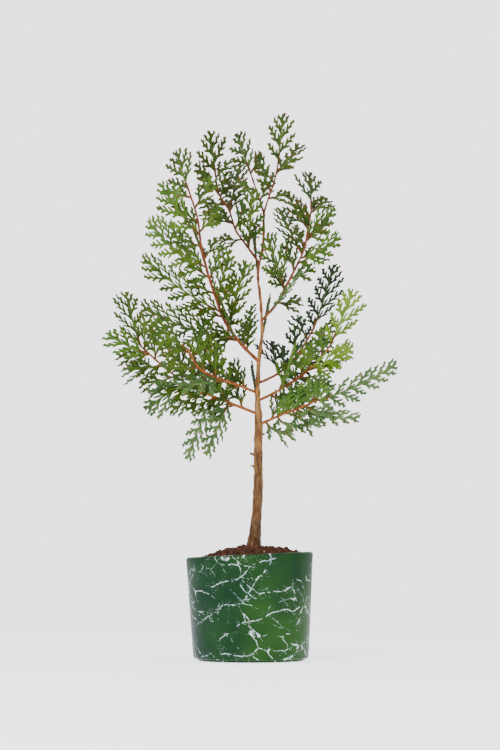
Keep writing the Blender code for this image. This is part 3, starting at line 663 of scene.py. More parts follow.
def pot_material():
    """Deep green glaze, bluish to the left, with white and pale blue marble veins."""
    material, tree, shader = new_material(
        "marbled_glaze", Roughness=GLAZE_ROUGHNESS, Specular_IOR_Level=GLAZE_SPECULAR,
    )
    place = object_place(tree)
    ground = placed(tree, GRAIN, place, {**GLAZE_GROUND, **two_colours(GLAZE_GREENS)})
    sides = new_node(tree, "ShaderNodeSeparateXYZ")
    left = new_node(tree, "ShaderNodeMapRange", GLAZE_BLUISH_RANGE)
    bluish = new_node(tree, "ShaderNodeMix", {7: linear(GLAZE_BLUISH)}, data_type="RGBA")
    long_ones = placed(tree, VEINS, place, LONG_VEINS)
    short_ones = placed(tree, VEINS, place, SHORT_VEINS)
    zone = placed(tree, VEINS, place, SPECK_ZONE)
    specks = placed(tree, GRAIN, place, SPECKS)
    here = new_node(tree, "ShaderNodeMath", operation="MULTIPLY")
    dim = new_node(tree, "ShaderNodeMath", {1: SPECK_STRENGTH}, operation="MULTIPLY")
    most = new_node(tree, "ShaderNodeMath", operation="MAXIMUM")
    all_veins = new_node(tree, "ShaderNodeMath", operation="MAXIMUM", use_clamp=True)
    tint = placed(tree, GRAIN, place, {"Scale": VEIN_TINT_SCALE, **two_colours(VEIN_WHITES)})
    veined = new_node(tree, "ShaderNodeMix", data_type="RGBA")
    join(
        tree, place, sides.inputs[0], sides.outputs["X"], left.inputs["Value"],
        left.outputs[0], bluish.inputs[0], ground.outputs["Colour"], bluish.inputs[6],
        specks.outputs["Mask"], here.inputs[0], zone.outputs[0], here.inputs[1],
        here.outputs[0], dim.inputs[0], long_ones.outputs[0], most.inputs[0],
        dim.outputs[0], most.inputs[1], most.outputs[0], all_veins.inputs[0],
        short_ones.outputs[0], all_veins.inputs[1], all_veins.outputs[0], veined.inputs[0],
        bluish.outputs[2], veined.inputs[6], tint.outputs["Colour"], veined.inputs[7],
        veined.outputs[2], shader.inputs["Base Color"],
    )
    add_bump(tree, shader, ground.outputs["Mask"], GLAZE_RELIEF)
    return material


def soil_material(name):
    """Damp peaty soil or straw with fine grains."""
    dark, light, scale = SOIL_FINISHES[name]
    material, tree, shader = new_material(
        name, Roughness=SOIL_DULLNESS, Specular_IOR_Level=SOIL_SPECULAR,
    )
    grains = placed(tree, GRAIN, object_place(tree), {
        **SOIL_GRAINS, **two_colours((dark, light)), "Scale": scale,
    })
    join(tree, grains.outputs["Colour"], shader.inputs["Base Color"])
    add_bump(tree, shader, grains.outputs["Mask"], SOIL_RELIEF)
    return material


def floor_material():
    """A plain floor, a little brightened so that it reads as white."""
    material, _, _ = new_material(
        "floor_white", Base_Color=linear(FLOOR_COLOUR), Roughness=FLOOR_ROUGHNESS,
        Emission_Color=linear(FLOOR_COLOUR), Emission_Strength=FLOOR_GLOW,
    )
    return material


# Camera, stage and light

def add_camera():
    """The camera at the photo's viewing angle."""
    camera = add_object("camera", bpy.data.cameras.new("camera"))
    camera.data.lens = LENS
    camera.data.sensor_fit = "VERTICAL"
    camera.data.sensor_height = SENSOR_HEIGHT
    camera.location = CAMERA_PLACE
    camera.rotation_euler = (math.radians(CAMERA_PITCH), 0, 0)
    bpy.context.scene.camera = camera


def add_stage():
    """A plain, pale, round floor."""
    bm = bmesh.new()
    bmesh.ops.create_circle(bm, cap_ends=True, segments=FLOOR_SIDES, radius=FLOOR_RADIUS)
    mesh = bpy.data.meshes.new("floor")
    bm.to_mesh(mesh)
    bm.free()
    mesh.materials.append(floor_material())
    add_object("floor", mesh)


def add_lights():
    """A soft key from the front left, a fill from the right and a pale studio all round."""
    for name, place, size, power, colour in LIGHTS:
        light = bpy.data.lights.new(name, "AREA")
        light.size = size
        light.energy = power
        light.color = colour
        obj = add_object(name, light)
        obj.location = place
        facing = Vector(LIGHT_TARGET) - Vector(place)
        obj.rotation_euler = facing.to_track_quat("-Z", "Y").to_euler()
    world = bpy.data.worlds.new("studio")
    world.use_nodes = True
    tree = world.node_tree
    tree.nodes.clear()
    light, seen = [
        new_node(tree, "ShaderNodeBackground", {"Color": colour, "Strength": strength})
        for colour, strength in (STUDIO_LIGHT, STUDIO_SEEN)
    ]
    path = new_node(tree, "ShaderNodeLightPath")
    mix = new_node(tree, "ShaderNodeMixShader")
    out = new_node(tree, "ShaderNodeOutputWorld")
    join(
        tree, path.outputs["Is Camera Ray"], mix.inputs[0], light.outputs[0], mix.inputs[1],
        seen.outputs[0], mix.inputs[2], mix.outputs[0], out.inputs[0],
    )
    bpy.context.scene.world = world


# Pot and soil

def corner_arc(centre, radius, first, last, count):
    """Points of a rounded corner from one angle to another, in degrees."""
    turns = [math.radians(first + (last - first) * index / count) for index in range(count + 1)]
    return [(centre[0] + radius * math.cos(t), centre[1] + radius * math.sin(t)) for t in turns]


def wall_radius(height):
    """Outer radius of the pot's wall at a height."""
    return POT_BASE_RADIUS + (POT_RIM_RADIUS - POT_BASE_RADIUS) * height / POT_HEIGHT


def turned(name, outline, steps):
    """Turns an outline of radius and height in mm about the pot's axis."""
    mesh = bpy.data.meshes.new(name)
    mesh.from_pydata(
        [(radius * MM, 0, height * MM) for radius, height in outline],
        [(index, index + 1) for index in range(len(outline) - 1)], [],
    )
    obj = add_object(name, mesh)
    screw = obj.modifiers.new("turn", "SCREW")
    screw.steps = steps
    screw.render_steps = steps
    screw.use_merge_vertices = True
    screw.merge_threshold = 0.01 * MM
    obj = baked(obj, name)
    slant(obj.data)
    return obj


def slant(mesh):
    """Gives a turned mesh the pot's sloping rim and slight lean."""
    for vertex in mesh.vertices:
        rise = max(vertex.co.z, 0.0) / (POT_HEIGHT * MM)
        vertex.co.z += vertex.co.x * math.tan(POT_SLANT) * rise
        vertex.co.x += POT_SHIFT * MM * rise


def shade_smooth(mesh, angle):
    """Smooth shading with edges sharper than an angle kept."""
    for polygon in mesh.polygons:
        polygon.use_smooth = True
    mesh.set_sharp_from_angle(angle=math.radians(angle))


def add_pot():
    """The glazed pot, turned finer than the solid, open at the top and closed below."""
    rim_inner = wall_radius(POT_HEIGHT) - POT_WALL
    floor = POT_HEIGHT - POT_DEPTH_SHOWN
    floor_inner = wall_radius(floor) - POT_WALL
    outline = [(0, floor), (floor_inner, floor)]
    outline += corner_arc(
        (rim_inner + POT_RIM_ROUND, POT_HEIGHT - POT_RIM_ROUND), POT_RIM_ROUND, 180, 90, 6)
    outline += corner_arc(
        (POT_RIM_RADIUS - POT_RIM_ROUND, POT_HEIGHT - POT_RIM_ROUND), POT_RIM_ROUND, 90, 0, 8)
    base = POT_FOOT_HEIGHT + POT_BASE_ROUND
    for index in range(1, POT_WALL_STEPS):
        drop = (POT_HEIGHT - POT_RIM_ROUND - base) * index / POT_WALL_STEPS
        height = POT_HEIGHT - POT_RIM_ROUND - drop
        outline.append((wall_radius(height), height))
    outline += corner_arc((POT_BASE_RADIUS - POT_BASE_ROUND, base), POT_BASE_ROUND, 0, -90, 6)
    inset = (POT_FOOT_RADIUS + POT_FOOT_ROUND, POT_FOOT_HEIGHT - POT_FOOT_ROUND)
    outline += corner_arc(inset, POT_FOOT_ROUND, 90, 180, 3)
    outline += [
        (POT_FOOT_RADIUS, POT_FOOT_BEVEL), (POT_FOOT_RADIUS - POT_FOOT_BEVEL, 0), (0, 0),
    ]
    pot = turned("marbled_pot", outline, POT_STEPS)
    shade_smooth(pot.data, POT_SHARP_FROM)
    pot.data.materials.append(pot_material())
    dress(pot, "pot_glaze", "pot")


def heap_height(x, y):
    """Height of the heaped soil at a place."""
    away = math.hypot(x - TRUNK_FOOT[0], y)
    share = min(max((away - SOIL_SEAT_RADIUS) / (SOIL_HEAP_RADIUS - SOIL_SEAT_RADIUS), 0.0), 1.0)
    fall = (0.5 + 0.5 * math.cos(math.pi * share)) ** SOIL_FULLNESS
    height = SOIL_EDGE + (SOIL_TOP - SOIL_EDGE) * fall
    (rate_x, start_x), (rate_y, start_y) = SOIL_RIPPLE_X, SOIL_RIPPLE_Y
    ripple = SOIL_RIPPLE * math.sin(rate_x * x + start_x) * math.cos(rate_y * y + start_y)
    return height + ripple * math.sin(math.pi * share) + x * math.tan(POT_SLANT) * share


EACH_SHAPE = {"Separate Children": True, "Reset Children": True}


def build_crumb_tree():
    """Scatters crumbs of a collection over a surface."""
    tree, given, result = group_with(
        "scattered_crumbs", "GeometryNodeTree",
        (
            ("Geometry", "Geometry", None),
            ("Density", "Float", 300000.0),
            ("Smallest", "Float", 0.5),
            ("Largest", "Float", 1.5),
            ("Seed", "Int", 3),
            ("Crumbs", "Collection", None),
            ("Material", "Material", None),
        ),
        (("Geometry", "Geometry"),),
    )
    scatter = new_node(tree, "GeometryNodeDistributePointsOnFaces")
    crumbs = new_node(tree, "GeometryNodeCollectionInfo", EACH_SHAPE)
    turn = new_node(tree, "FunctionNodeRandomValue", {1: (math.tau,) * 3}, data_type="FLOAT_VECTOR")
    size = new_node(tree, "FunctionNodeRandomValue", data_type="FLOAT")
    place = new_node(tree, "GeometryNodeInstanceOnPoints", {"Pick Instance": True})
    realize = new_node(tree, "GeometryNodeRealizeInstances")
    paint = new_node(tree, "GeometryNodeSetMaterial")
    join(
        tree, given["Geometry"], scatter.inputs["Mesh"],
        given["Density"], scatter.inputs["Density"], given["Seed"], scatter.inputs["Seed"],
        given["Crumbs"], crumbs.inputs["Collection"],
        scatter.outputs["Points"], place.inputs["Points"],
        crumbs.outputs[0], place.inputs["Instance"], turn.outputs[0], place.inputs["Rotation"],
        given["Smallest"], size.inputs[2], given["Largest"], size.inputs[3],
        size.outputs[1], place.inputs["Scale"], place.outputs[0], realize.inputs[0],
        realize.outputs[0], paint.inputs["Geometry"], given["Material"], paint.inputs["Material"],
        paint.outputs[0], result[0],
    )
    return tree


def shape_collection(name, shapes):
    """A collection of small shapes for a group to pick from."""
    collection = bpy.data.collections.new(name)
    bpy.context.scene.collection.children.link(collection)
    for index, mesh in enumerate(shapes):
        collection.objects.link(bpy.data.objects.new(f"{name}_{index}", mesh))
    return collection


def drop_collection(collection):
    """Removes a collection of shapes once its pieces are made."""
    for obj in list(collection.objects):
        bpy.data.objects.remove(obj)
    bpy.data.collections.remove(collection)


def crumb_mesh(index, stretch):
    """A lumpy crumb of about 1 mm."""
    rng = random.Random(f"crumb {index} {stretch}")
    bm = bmesh.new()
    bmesh.ops.create_icosphere(bm, subdivisions=1, radius=0.5 * MM)
    for vertex in bm.verts:
        vertex.co = vertex.co * rng.uniform(*CRUMB_LUMPS)
        vertex.co.x *= stretch
    bmesh.ops.recalc_face_normals(bm, faces=bm.faces)
    mesh = bpy.data.meshes.new("crumb")
    bm.to_mesh(mesh)
    bm.free()
    return mesh


def upper_side(mesh, name):
    """A copy of a mesh with only the faces that look up."""
    top = mesh.copy()
    top.name = name
    bm = bmesh.new()
    bm.from_mesh(top)
    low = [face for face in bm.faces if face.normal.z < UP_LEAST]
    bmesh.ops.delete(bm, geom=low, context="FACES")
    bm.to_mesh(top)
    bm.free()
    return top


def add_soil():
    """The heaped soil bed and the loose crumbs, lumps and straw on it."""
    inner = wall_radius(SOIL_EDGE) - POT_WALL - SOIL_GAP
    rings = [(inner * index / SOIL_RINGS, SOIL_EDGE) for index in range(SOIL_RINGS + 1)]
    outline = rings + [(inner, SOIL_EDGE - SOIL_BED_DEPTH), (0, SOIL_EDGE - SOIL_BED_DEPTH)]
    bed = turned("soil_bed", outline, SOIL_STEPS)
    rng = random.Random("soil bed")
    limit = (SOIL_EDGE - SOIL_TOP_BAND) * MM
    for vertex in bed.data.vertices:
        x, y = vertex.co.x / MM, vertex.co.y / MM
        if vertex.co.z > limit:
            vertex.co.z = (heap_height(x, y) + rng.uniform(*SOIL_UNEVEN)) * MM
    bm = bmesh.new()
    bm.from_mesh(bed.data)
    bmesh.ops.recalc_face_normals(bm, faces=bm.faces)
    bm.to_mesh(bed.data)
    bm.free()
    tree = build_crumb_tree()
    top = upper_side(bed.data, "soil_top")
    shapes = {
        kind: shape_collection(
            f"{kind}_shapes", [crumb_mesh(index, stretch) for index in range(count)])
        for kind, (count, stretch) in LOOSE_SHAPES.items()
    }
    finishes = {"crumb": soil_material("peat_crumbs"), "straw": soil_material("straw_bits")}
    for name, density, sizes, seed, kind in LOOSE_SOIL:
        piece = with_modifier(add_object(name, top.copy()), tree, {
            "Density": density, "Smallest": sizes[0], "Largest": sizes[1], "Seed": seed,
            "Crumbs": shapes[kind], "Material": finishes[kind],
        })
        dress(baked(piece, name), "soil")
    for collection in shapes.values():
        drop_collection(collection)
    bed.data.materials.append(soil_material("peat"))
    dress(bed, "soil", "soil")


# Limbs

def smooth_track(corners, step):
    """Points about a step apart on a smooth line through the corners."""
    ends = [corners[0] * 2 - corners[1]] + corners + [corners[-1] * 2 - corners[-2]]
    points = []
    for before, start, stop, after in zip(ends, ends[1:], ends[2:], ends[3:]):
        count = max(1, round((stop - start).length / step))
        for index in range(count):
            t = index / count
            points.append(0.5 * (
                2 * start
                + (stop - before) * t
                + (2 * before - 5 * start + 4 * stop - after) * t ** 2
                + (3 * start - before - 3 * stop + after) * t ** 3
            ))
    points.append(corners[-1])
    return points


def limb_track(start, length, headings, drift, step):
    """The centre line of a limb that follows its headings and drifts to the back."""
    corners = [Vector(start)]
    leg = length / len(headings)
    for heading in headings:
        angle = math.radians(heading)
        move = Vector((leg * math.cos(angle), drift / len(headings), leg * math.sin(angle)))
        corners.append(corners[-1] + move)
    return smooth_track(corners, step)


def blend(values, share):
    """The value a share of the way along an even row of values."""
    place = min(max(share, 0.0), 1.0) * (len(values) - 1)
    index = min(int(place), len(values) - 2)
    return values[index] + (values[index + 1] - values[index]) * (place - index)


def along(points, share):
    """The point and the direction a share of the way along a track."""
    lengths = [(b - a).length for a, b in zip(points, points[1:])]
    left = share * sum(lengths)
    for index, length in enumerate(lengths):
        if left <= length or index == len(lengths) - 1:
            direction = (points[index + 1] - points[index]).normalized()
            return points[index] + direction * left, direction
        left -= length


def build_limb_tree():
    """A round limb along a curve, with lumps and long fissures raised in its surface."""
    tree, given, result = group_with(
        "limb_with_relief", "GeometryNodeTree",
        (
            ("Geometry", "Geometry", None),
            ("Sides", "Int", 16),
            ("Step", "Float", 0.001),
            ("Lump", "Float", 0.0002),
            ("Lump Scale", "Float", 250.0),
            ("Fissure", "Float", 0.0001),
            ("Fissure Scale", "Float", 900.0),
            ("Material", "Material", None),
        ),
        (("Geometry", "Geometry"),),
    )
    even = new_node(tree, "GeometryNodeResampleCurve", mode="LENGTH")
    ring = new_node(tree, "GeometryNodeCurvePrimitiveCircle", {"Radius": 1.0})
    radius = new_node(tree, "GeometryNodeInputRadius")
    sweep = new_node(tree, "GeometryNodeCurveToMesh", {"Fill Caps": True})
    place = new_node(tree, "GeometryNodeInputPosition")
    normal = new_node(tree, "GeometryNodeInputNormal")
    stretch = new_node(tree, "ShaderNodeVectorMath", {1: FISSURE_STRETCH}, operation="MULTIPLY")
    lumps = new_node(tree, "ShaderNodeTexNoise", {"Detail": 1.0})
    cracks = new_node(tree, "ShaderNodeTexNoise", {"Detail": 3.0, "Roughness": 0.6})
    lump = new_node(tree, "ShaderNodeMath", {1: 0.5}, operation="SUBTRACT")
    crack = new_node(tree, "ShaderNodeMath", {1: 0.5}, operation="SUBTRACT")
    lump_size = new_node(tree, "ShaderNodeMath", operation="MULTIPLY")
    crack_size = new_node(tree, "ShaderNodeMath", operation="MULTIPLY")
    total = new_node(tree, "ShaderNodeMath", operation="ADD")
    offset = new_node(tree, "ShaderNodeVectorMath", operation="SCALE")
    move = new_node(tree, "GeometryNodeSetPosition")
    soft = new_node(tree, "GeometryNodeSetShadeSmooth")
    paint = new_node(tree, "GeometryNodeSetMaterial")
    join(
        tree, given["Geometry"], even.inputs["Curve"], given["Step"], even.inputs["Length"],
        given["Sides"], ring.inputs["Resolution"], even.outputs[0], sweep.inputs["Curve"],
        ring.outputs[0], sweep.inputs["Profile Curve"], radius.outputs[0], sweep.inputs["Scale"],
        place.outputs[0], lumps.inputs["Vector"],
        place.outputs[0], stretch.inputs[0], stretch.outputs[0], cracks.inputs["Vector"],
        given["Lump Scale"], lumps.inputs["Scale"],
        given["Fissure Scale"], cracks.inputs["Scale"],
        lumps.outputs[0], lump.inputs[0], cracks.outputs[0], crack.inputs[0],
        lump.outputs[0], lump_size.inputs[0], given["Lump"], lump_size.inputs[1],
        crack.outputs[0], crack_size.inputs[0], given["Fissure"], crack_size.inputs[1],
        lump_size.outputs[0], total.inputs[0], crack_size.outputs[0], total.inputs[1],
        normal.outputs[0], offset.inputs[0], total.outputs[0], offset.inputs["Scale"],
        sweep.outputs[0], move.inputs["Geometry"], offset.outputs[0], move.inputs["Offset"],
        move.outputs[0], soft.inputs["Geometry"], soft.outputs[0], paint.inputs["Geometry"],
        given["Material"], paint.inputs["Material"], paint.outputs[0], result[0],
    )
    return tree


LIMB_TREE = build_limb_tree()


def add_limbs_mesh(name, tracks, form, material):
    """One mesh of limbs with relief from tracks of points and radii in mm."""
    sides, step, lump, fissure = form
    obj = with_modifier(curve_object(name, tracks), LIMB_TREE, {
        "Sides": sides, "Step": step * MM, "Lump": lump * MM, "Fissure": fissure * MM,
        "Material": material,
    })
    return baked(obj, name)


def add_trunk(material):
    """The trunk with its root flare, lumps, fissures and the stubs of lost twigs."""
    points = limb_track(TRUNK_FOOT, TRUNK_LENGTH, TRUNK_HEADINGS, TRUNK_DRIFT, TRACK_STEP)
    radii = [blend(TRUNK_RADII, index / (len(points) - 1)) for index in range(len(points))]
    tracks = [(points, radii)]
    for share, heading, length, radius in TRUNK_STUBS:
        start, _ = along(points, share)
        flat = math.radians(heading)
        out = Vector((math.cos(flat), math.sin(flat) * STUB_DEPTH, STUB_RISE)).normalized()
        reach = blend(TRUNK_RADII, share) + length
        stub = [start, start + out * (reach - STUB_CAP), start + out * reach]
        tracks.append((stub, [radius * part for part in STUB_RADII]))
    trunk = add_limbs_mesh("trunk_bark", tracks, TRUNK_FORM, material)
    foot = Vector(TRUNK_FOOT) * MM
    for vertex in trunk.data.vertices:
        offset = vertex.co - foot
        angle = math.atan2(offset.y, offset.x)
        lobe = 0.5 + 0.5 * math.sin(FLARE_ROOTS * angle + FLARE_TURN)
        widen = 1 + FLARE_SPREAD * lobe * math.exp(-max(offset.z, 0.0) / (FLARE_HEIGHT * MM))
        vertex.co.x = foot.x + offset.x * widen
        vertex.co.y = foot.y + offset.y * widen
    dress(trunk, "trunk_bark", "trunk")
    return points


def add_boughs(tracks, material):
    """The ten boughs, each from inside the limb that carries it."""
    for name, share, length, headings, drift, root, tip in BOUGHS:
        start, _ = along(tracks["trunk"], share)
        points = limb_track(start, length, headings, drift, TRACK_STEP)
        count = len(points) - 1
        radii = [root + (tip - root) * index / count for index in range(count + 1)]
        tracks[name] = points
        bark = add_limbs_mesh(f"{name}_bark", [(points, radii)], BOUGH_FORM, material)
        dress(bark, "bough_bark", name)


# Sprays

def spray_axes(heading, lean, turn):
    """Stem direction and side direction of a spray."""
    flat = math.radians(heading)
    back = math.radians(lean)
    forward = Vector((
        math.cos(flat) * math.cos(back), math.sin(back), math.sin(flat) * math.cos(back),
    ))
    side = Vector((-math.sin(flat), 0, math.cos(flat)))
    normal = forward.cross(side)
    angle = math.radians(turn)
    return forward, side * math.cos(angle) + normal * math.sin(angle)


class Crown:
    """Gathers the joints of scale leaves by tone, and the cores of stems and shoots."""

    def __init__(self):
        self.joints = {tone: [] for tone in (*TONES, "bronze")}
        self.woody = []
        self.cores = []

    def add_joint(self, tone, place, forward, across, size, is_tip):
        """One joint of four scale leaves, or the blunt joint that ends a shoot."""
        normal = forward.cross(across).normalized()
        side = normal.cross(forward)
        turn = Matrix((forward, side, normal)).transposed().to_euler()
        self.joints[tone].append((place, turn, size, is_tip))


def grow_shoot(crown, tone, start, forward, across, length, order, bend, hand, rng, reaches=None):
    """One shoot with its joints of leaves and, by the same rule again, the shoots on it."""
    count = max(2, round(length / JOINT_PITCH[order]))
    leg = length / count
    turn = math.radians(bend) / count
    curl = math.radians(rng.uniform(-SHOOT_CURL, SHOOT_CURL)) / count
    track = [start]
    axes = []
    if reaches:
        back = -math.radians(bend) / 2
        forward, across = (
            forward * math.cos(back) + across * math.sin(back),
            across * math.cos(back) - forward * math.sin(back),
        )
    for index in range(count):
        normal = forward.cross(across)
        axes.append((forward, across))
        forward = (forward * math.cos(curl) + normal * math.sin(curl)).normalized()
        forward, across = (
            forward * math.cos(turn) + across * math.sin(turn),
            across * math.cos(turn) - forward * math.sin(turn),
        )
        track.append(track[-1] + forward * leg)
    bare = WOODY_SHARE * length if order == 0 else 0.0
    for index in range(count):
        if index * leg < bare:
            continue
        share = index / count
        is_tip = index == count - 1
        taper = JOINT_TAPER[0] - JOINT_TAPER[1] * share
        width = JOINT_WIDTH[order] * taper * rng.uniform(*JOINT_VARIES)
        long = leg / UNIT_PITCH * JOINT_OVERLAP
        size = (long, width * (TIP_NARROWS if is_tip else 1.0), width)
        own = tone
        if is_tip and order > 0 and rng.random() < TONES[tone][2]:
            own = "bronze"
        crown.add_joint(own, track[index], *axes[index], size, is_tip)
    if order == 0:
        cut = max(2, round(bare / leg) + 2)
        radii = [blend(STEM_RADII, index / count) for index in range(count + 1)]
        crown.woody.append((track[:cut], radii[:cut]))
        crown.cores.append((track[cut - 1:], [radius * CORE_IN_STEM for radius in radii[cut - 1:]]))
    elif order == 1:
        radii = [blend(CORE_RADII, index / count) for index in range(count + 1)]
        crown.cores.append((track, radii))
    forks_from = FORK_PARENT_LEAST.get(tone, FORK_PARENT_ELSEWHERE)
    if order == 3 or (order == 2 and length < forks_from):
        return
    place = FIRST_SHOOT[order]
    side = rng.choice((1, -1)) if order == 0 else -hand
    while place < length - LAST_SHOOT[order]:
        share = place / length
        if reaches:
            angle, reach = reaches(share, side, rng)
            reach = min(reach, REACH_TO_TIP[0] * (length - place) + REACH_TO_TIP[1])
        else:
            angle = CHILD_ANGLE[order] + rng.uniform(-ANGLE_VARIES, ANGLE_VARIES)
            reach = CHILD_SHARE[order] * length * (1 - share) ** CHILD_TAPER
            reach = min(reach, CHILD_MOST[order])
            gain = DISTAL_GAIN if side == -hand else 1 / DISTAL_GAIN
            reach *= gain * rng.uniform(*CHILD_VARIES)
        reach = max(reach, CHILD_LEAST[order])
        index = min(int(place / leg), count - 1)
        origin = track[index] + (track[index + 1] - track[index]) * (place / leg - index)
        direction, sideways = axes[index]
        spin = math.radians(angle) * side
        axis = direction * math.cos(spin) + sideways * math.sin(spin)
        beside = sideways * math.cos(spin) - direction * math.sin(spin)
        tilt = math.radians(rng.uniform(-SHOOT_TILT, SHOOT_TILT))
        beside = beside * math.cos(tilt) + axis.cross(beside) * math.sin(tilt)
        grow_shoot(
            crown, tone, origin, axis, beside, reach, order + 1, -side * SHOOT_BEND, side, rng)
        place += SHOOT_STEP[0] + SHOOT_STEP[1] * reach
        side = -side


def grow_spray(crown, row, tracks):
    """One flat spray on its limb, within the reach of the solid it replaces."""
    name, limb, share, heading, length, left, right, lean, turn, tone = row
    rng = random.Random(f"{name} leaves")
    start, _ = along(tracks[limb], share)
    forward, side = spray_axes(heading, lean, turn)
    upright = 90 if math.sin(math.radians(heading)) > STEM_HANGS else 270
    bend = STEM_BEND * (upright - heading)

    def reaches(place, hand, draws):
        """Angle and length of a side shoot at a place on the stem."""
        spread = left if hand > 0 else right
        rise = min(1.0, SPREAD_RISE[0] + SPREAD_RISE[1] * place)
        taper = (1 - SPREAD_TAPER[0] * place) ** SPREAD_TAPER[1]
        width = SPREAD_SCALE * spread * rise * taper
        angle = blend(SHOOT_ANGLE, place) + draws.uniform(-ANGLE_VARIES, ANGLE_VARIES)
        return angle, width / math.sin(math.radians(angle)) * draws.uniform(*SPREAD_VARIES)

    grow_shoot(crown, tone, start, forward, side, length + 1.0, 0, bend, 0, rng, reaches)


def add_bough_twigs(crown, tracks):
    """Short sprays on both sides of the boughs, leaning to the front and back by turns."""
    for limb, first, last, count, length, spread, tone in BOUGH_TWIGS:
        rng = random.Random(f"{limb} twigs")
        for index in range(count):
            moved = index + rng.uniform(-TWIG_PLACE_VARIES, TWIG_PLACE_VARIES)
            share = first + (last - first) * moved / (count - 1)
            _, direction = along(tracks[limb], share)
            hand = 1 if index % 2 else -1
            heading = math.degrees(math.atan2(direction.z, direction.x))
            heading += hand * TWIG_ANGLE + rng.uniform(-TWIG_ANGLE_VARIES, TWIG_ANGLE_VARIES)
            lean = (1 if index % 4 < 2 else -1) * rng.uniform(*TWIG_LEAN_SHARE) * TWIG_LEAN
            reach = length * rng.uniform(*TWIG_LENGTH_SHARE)
            turn = TWIG_TURN * hand
            name = f"{limb} {index}"
            row = (name, limb, share, heading, reach, spread, spread, lean, turn, tone)
            grow_spray(crown, row, tracks)


# Scale leaves

def side_leaf(bm, hand, blunt):
    """One folded side leaf of a joint, hugging the shoot and pointing forward."""
    rows = (SIDE_LEAF_REAR, (*SIDE_LEAF_FRONT, SIDE_LEAF_WIDEST[blunt]))
    made = [[bm.verts.new((x, hand * y, z)) for x, y, z in row] for row in rows]
    tip, off = SIDE_LEAF_TIP[blunt]
    end = bm.verts.new((tip, hand * off, 0.0))
    for index in range(3):
        after = (index + 1) % 3
        bm.faces.new((made[0][index], made[0][after], made[1][after], made[1][index]))
        bm.faces.new((made[1][index], made[1][after], end))
    bm.faces.new(made[0])


def face_leaf(bm, hand, blunt):
    """One rhombic leaf on a face of a joint."""
    beside, across, height = FACE_LEAF_SIDE
    corners = (
        (FACE_LEAF_REAR[0], 0, FACE_LEAF_REAR[1]),
        (FACE_LEAF_TIP[blunt][0], 0, FACE_LEAF_TIP[blunt][1]),
        (beside, across, height), (beside, -across, height),
        (FACE_LEAF_PEAK[0], 0, FACE_LEAF_PEAK[1]),
    )
    rear, front, left, right, peak = [bm.verts.new((x, y, hand * z)) for x, y, z in corners]
    for first, second in ((rear, left), (left, front), (front, right), (right, rear)):
        bm.faces.new((first, second, peak))
    bm.faces.new((rear, left, front, right))


def joint_mesh(name, blunt):
    """Four scale leaves round one joint of a shoot, in metres."""
    bm = bmesh.new()
    for hand in (1, -1):
        side_leaf(bm, hand, blunt)
        face_leaf(bm, hand, blunt)
    bmesh.ops.recalc_face_normals(bm, faces=bm.faces)
    bm.transform(Matrix.Scale(MM, 4))
    mesh = bpy.data.meshes.new(name)
    bm.to_mesh(mesh)
    bm.free()
    return mesh


def stored(tree, name, kind):
    """A node that reads one of the points' own values."""
    return new_node(tree, "GeometryNodeInputNamedAttribute", {"Name": name}, data_type=kind)


def build_leaf_tree():
    """Puts a joint of scale leaves on every point, turned and sized by the point's own values."""
    tree, given, result = group_with(
        "joints_of_leaves", "GeometryNodeTree",
        (
            ("Geometry", "Geometry", None),
            ("Joints", "Collection", None),
            ("Material", "Material", None),
        ),
        (("Geometry", "Geometry"),),
    )
    shapes = new_node(tree, "GeometryNodeCollectionInfo", EACH_SHAPE)
    turn = stored(tree, "turn", "FLOAT_VECTOR")
    size = stored(tree, "size", "FLOAT_VECTOR")
    kind = stored(tree, "kind", "INT")
    points = new_node(tree, "GeometryNodeMeshToPoints")
    place = new_node(tree, "GeometryNodeInstanceOnPoints", {"Pick Instance": True})
    realize = new_node(tree, "GeometryNodeRealizeInstances")
    paint = new_node(tree, "GeometryNodeSetMaterial")
    join(
        tree, given["Geometry"], points.inputs["Mesh"], points.outputs[0], place.inputs["Points"],
        given["Joints"], shapes.inputs["Collection"], shapes.outputs[0], place.inputs["Instance"],
        turn.outputs[0], place.inputs["Rotation"], size.outputs[0], place.inputs["Scale"],
        kind.outputs[0], place.inputs["Instance Index"], place.outputs[0], realize.inputs[0],
        realize.outputs[0], paint.inputs["Geometry"], given["Material"], paint.inputs["Material"],
        paint.outputs[0], result[0],
    )
    return tree


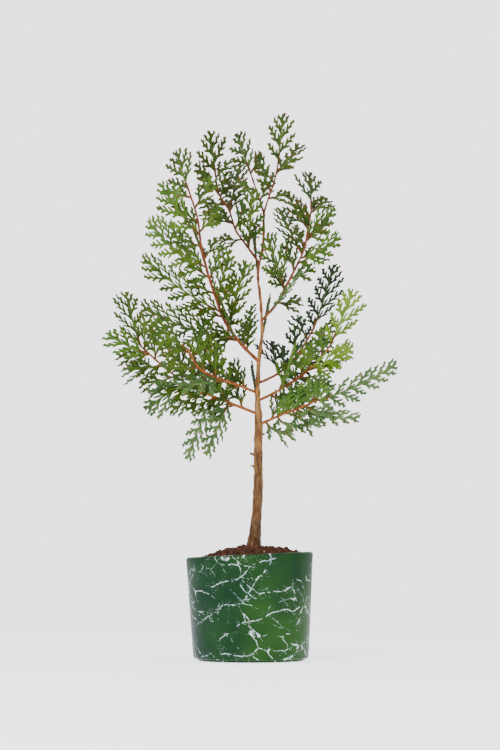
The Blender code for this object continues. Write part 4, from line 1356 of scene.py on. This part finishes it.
def add_leaves(crown):
    """All scale leaves, in one or more pieces for each tone."""
    tree = build_leaf_tree()
    meshes = [joint_mesh("a_joint", False), joint_mesh("b_tip", True)]
    shapes = shape_collection("joint_shapes", meshes)
    nodes = {tone: [] for tone in TONES}
    for row in SPRAYS:
        nodes[row[-1]].append(f"foliage_{row[0]}")
    for tone, joints in crown.joints.items():
        pair = BRONZE if tone == "bronze" else TONES[tone][:2]
        # The darkest green tone's material is painted shade for the sprays at the back.
        material = leaf_material(f"scale_leaves_{tone}", pair)
        pieces = max(1, math.ceil(len(joints) / JOINTS_A_PIECE))
        for number in range(pieces):
            part = joints[number::pieces]
            name = f"leaves_{tone}" + (f"_{number + 1}" if pieces > 1 else "")
            mesh = bpy.data.meshes.new(name)
            mesh.from_pydata([place * MM for place, _, _, _ in part], [], [])
            turns = mesh.attributes.new("turn", "FLOAT_VECTOR", "POINT")
            turns.data.foreach_set("vector", [value for _, turn, _, _ in part for value in turn])
            sizes = mesh.attributes.new("size", "FLOAT_VECTOR", "POINT")
            sizes.data.foreach_set("vector", [value for _, _, size, _ in part for value in size])
            kinds = mesh.attributes.new("kind", "INT", "POINT")
            kinds.data.foreach_set("value", [int(is_tip) for _, _, _, is_tip in part])
            piece = with_modifier(
                add_object(name, mesh), tree, {"Joints": shapes, "Material": material})
            dress(baked(piece, name), "foliage", *nodes.get(tone, ()))
    drop_collection(shapes)


def add_crown(tracks, bark):
    """Every spray: its woody stem, its green cores and its scale leaves."""
    crown = Crown()
    for row in SPRAYS:
        grow_spray(crown, row, tracks)
    add_bough_twigs(crown, tracks)
    woody = add_limbs_mesh("spray_stems", crown.woody, STEM_FORM, bark)
    dress(woody, "bough_bark")
    green = leaf_material("green_cores", CORE_GREENS)
    cores = add_limbs_mesh("shoot_cores", crown.cores, CORE_FORM, green)
    dress(cores, "foliage")
    add_leaves(crown)


def build():
    """Makes the stage and the whole plant."""
    add_camera()
    add_stage()
    add_lights()
    add_pot()
    add_soil()
    barks = {name: bark_material(name) for name in BARKS}
    tracks = {"trunk": add_trunk(barks["trunk_bark"])}
    add_boughs(tracks, barks["bough_bark"])
    add_crown(tracks, barks["stem_bark"])


build()
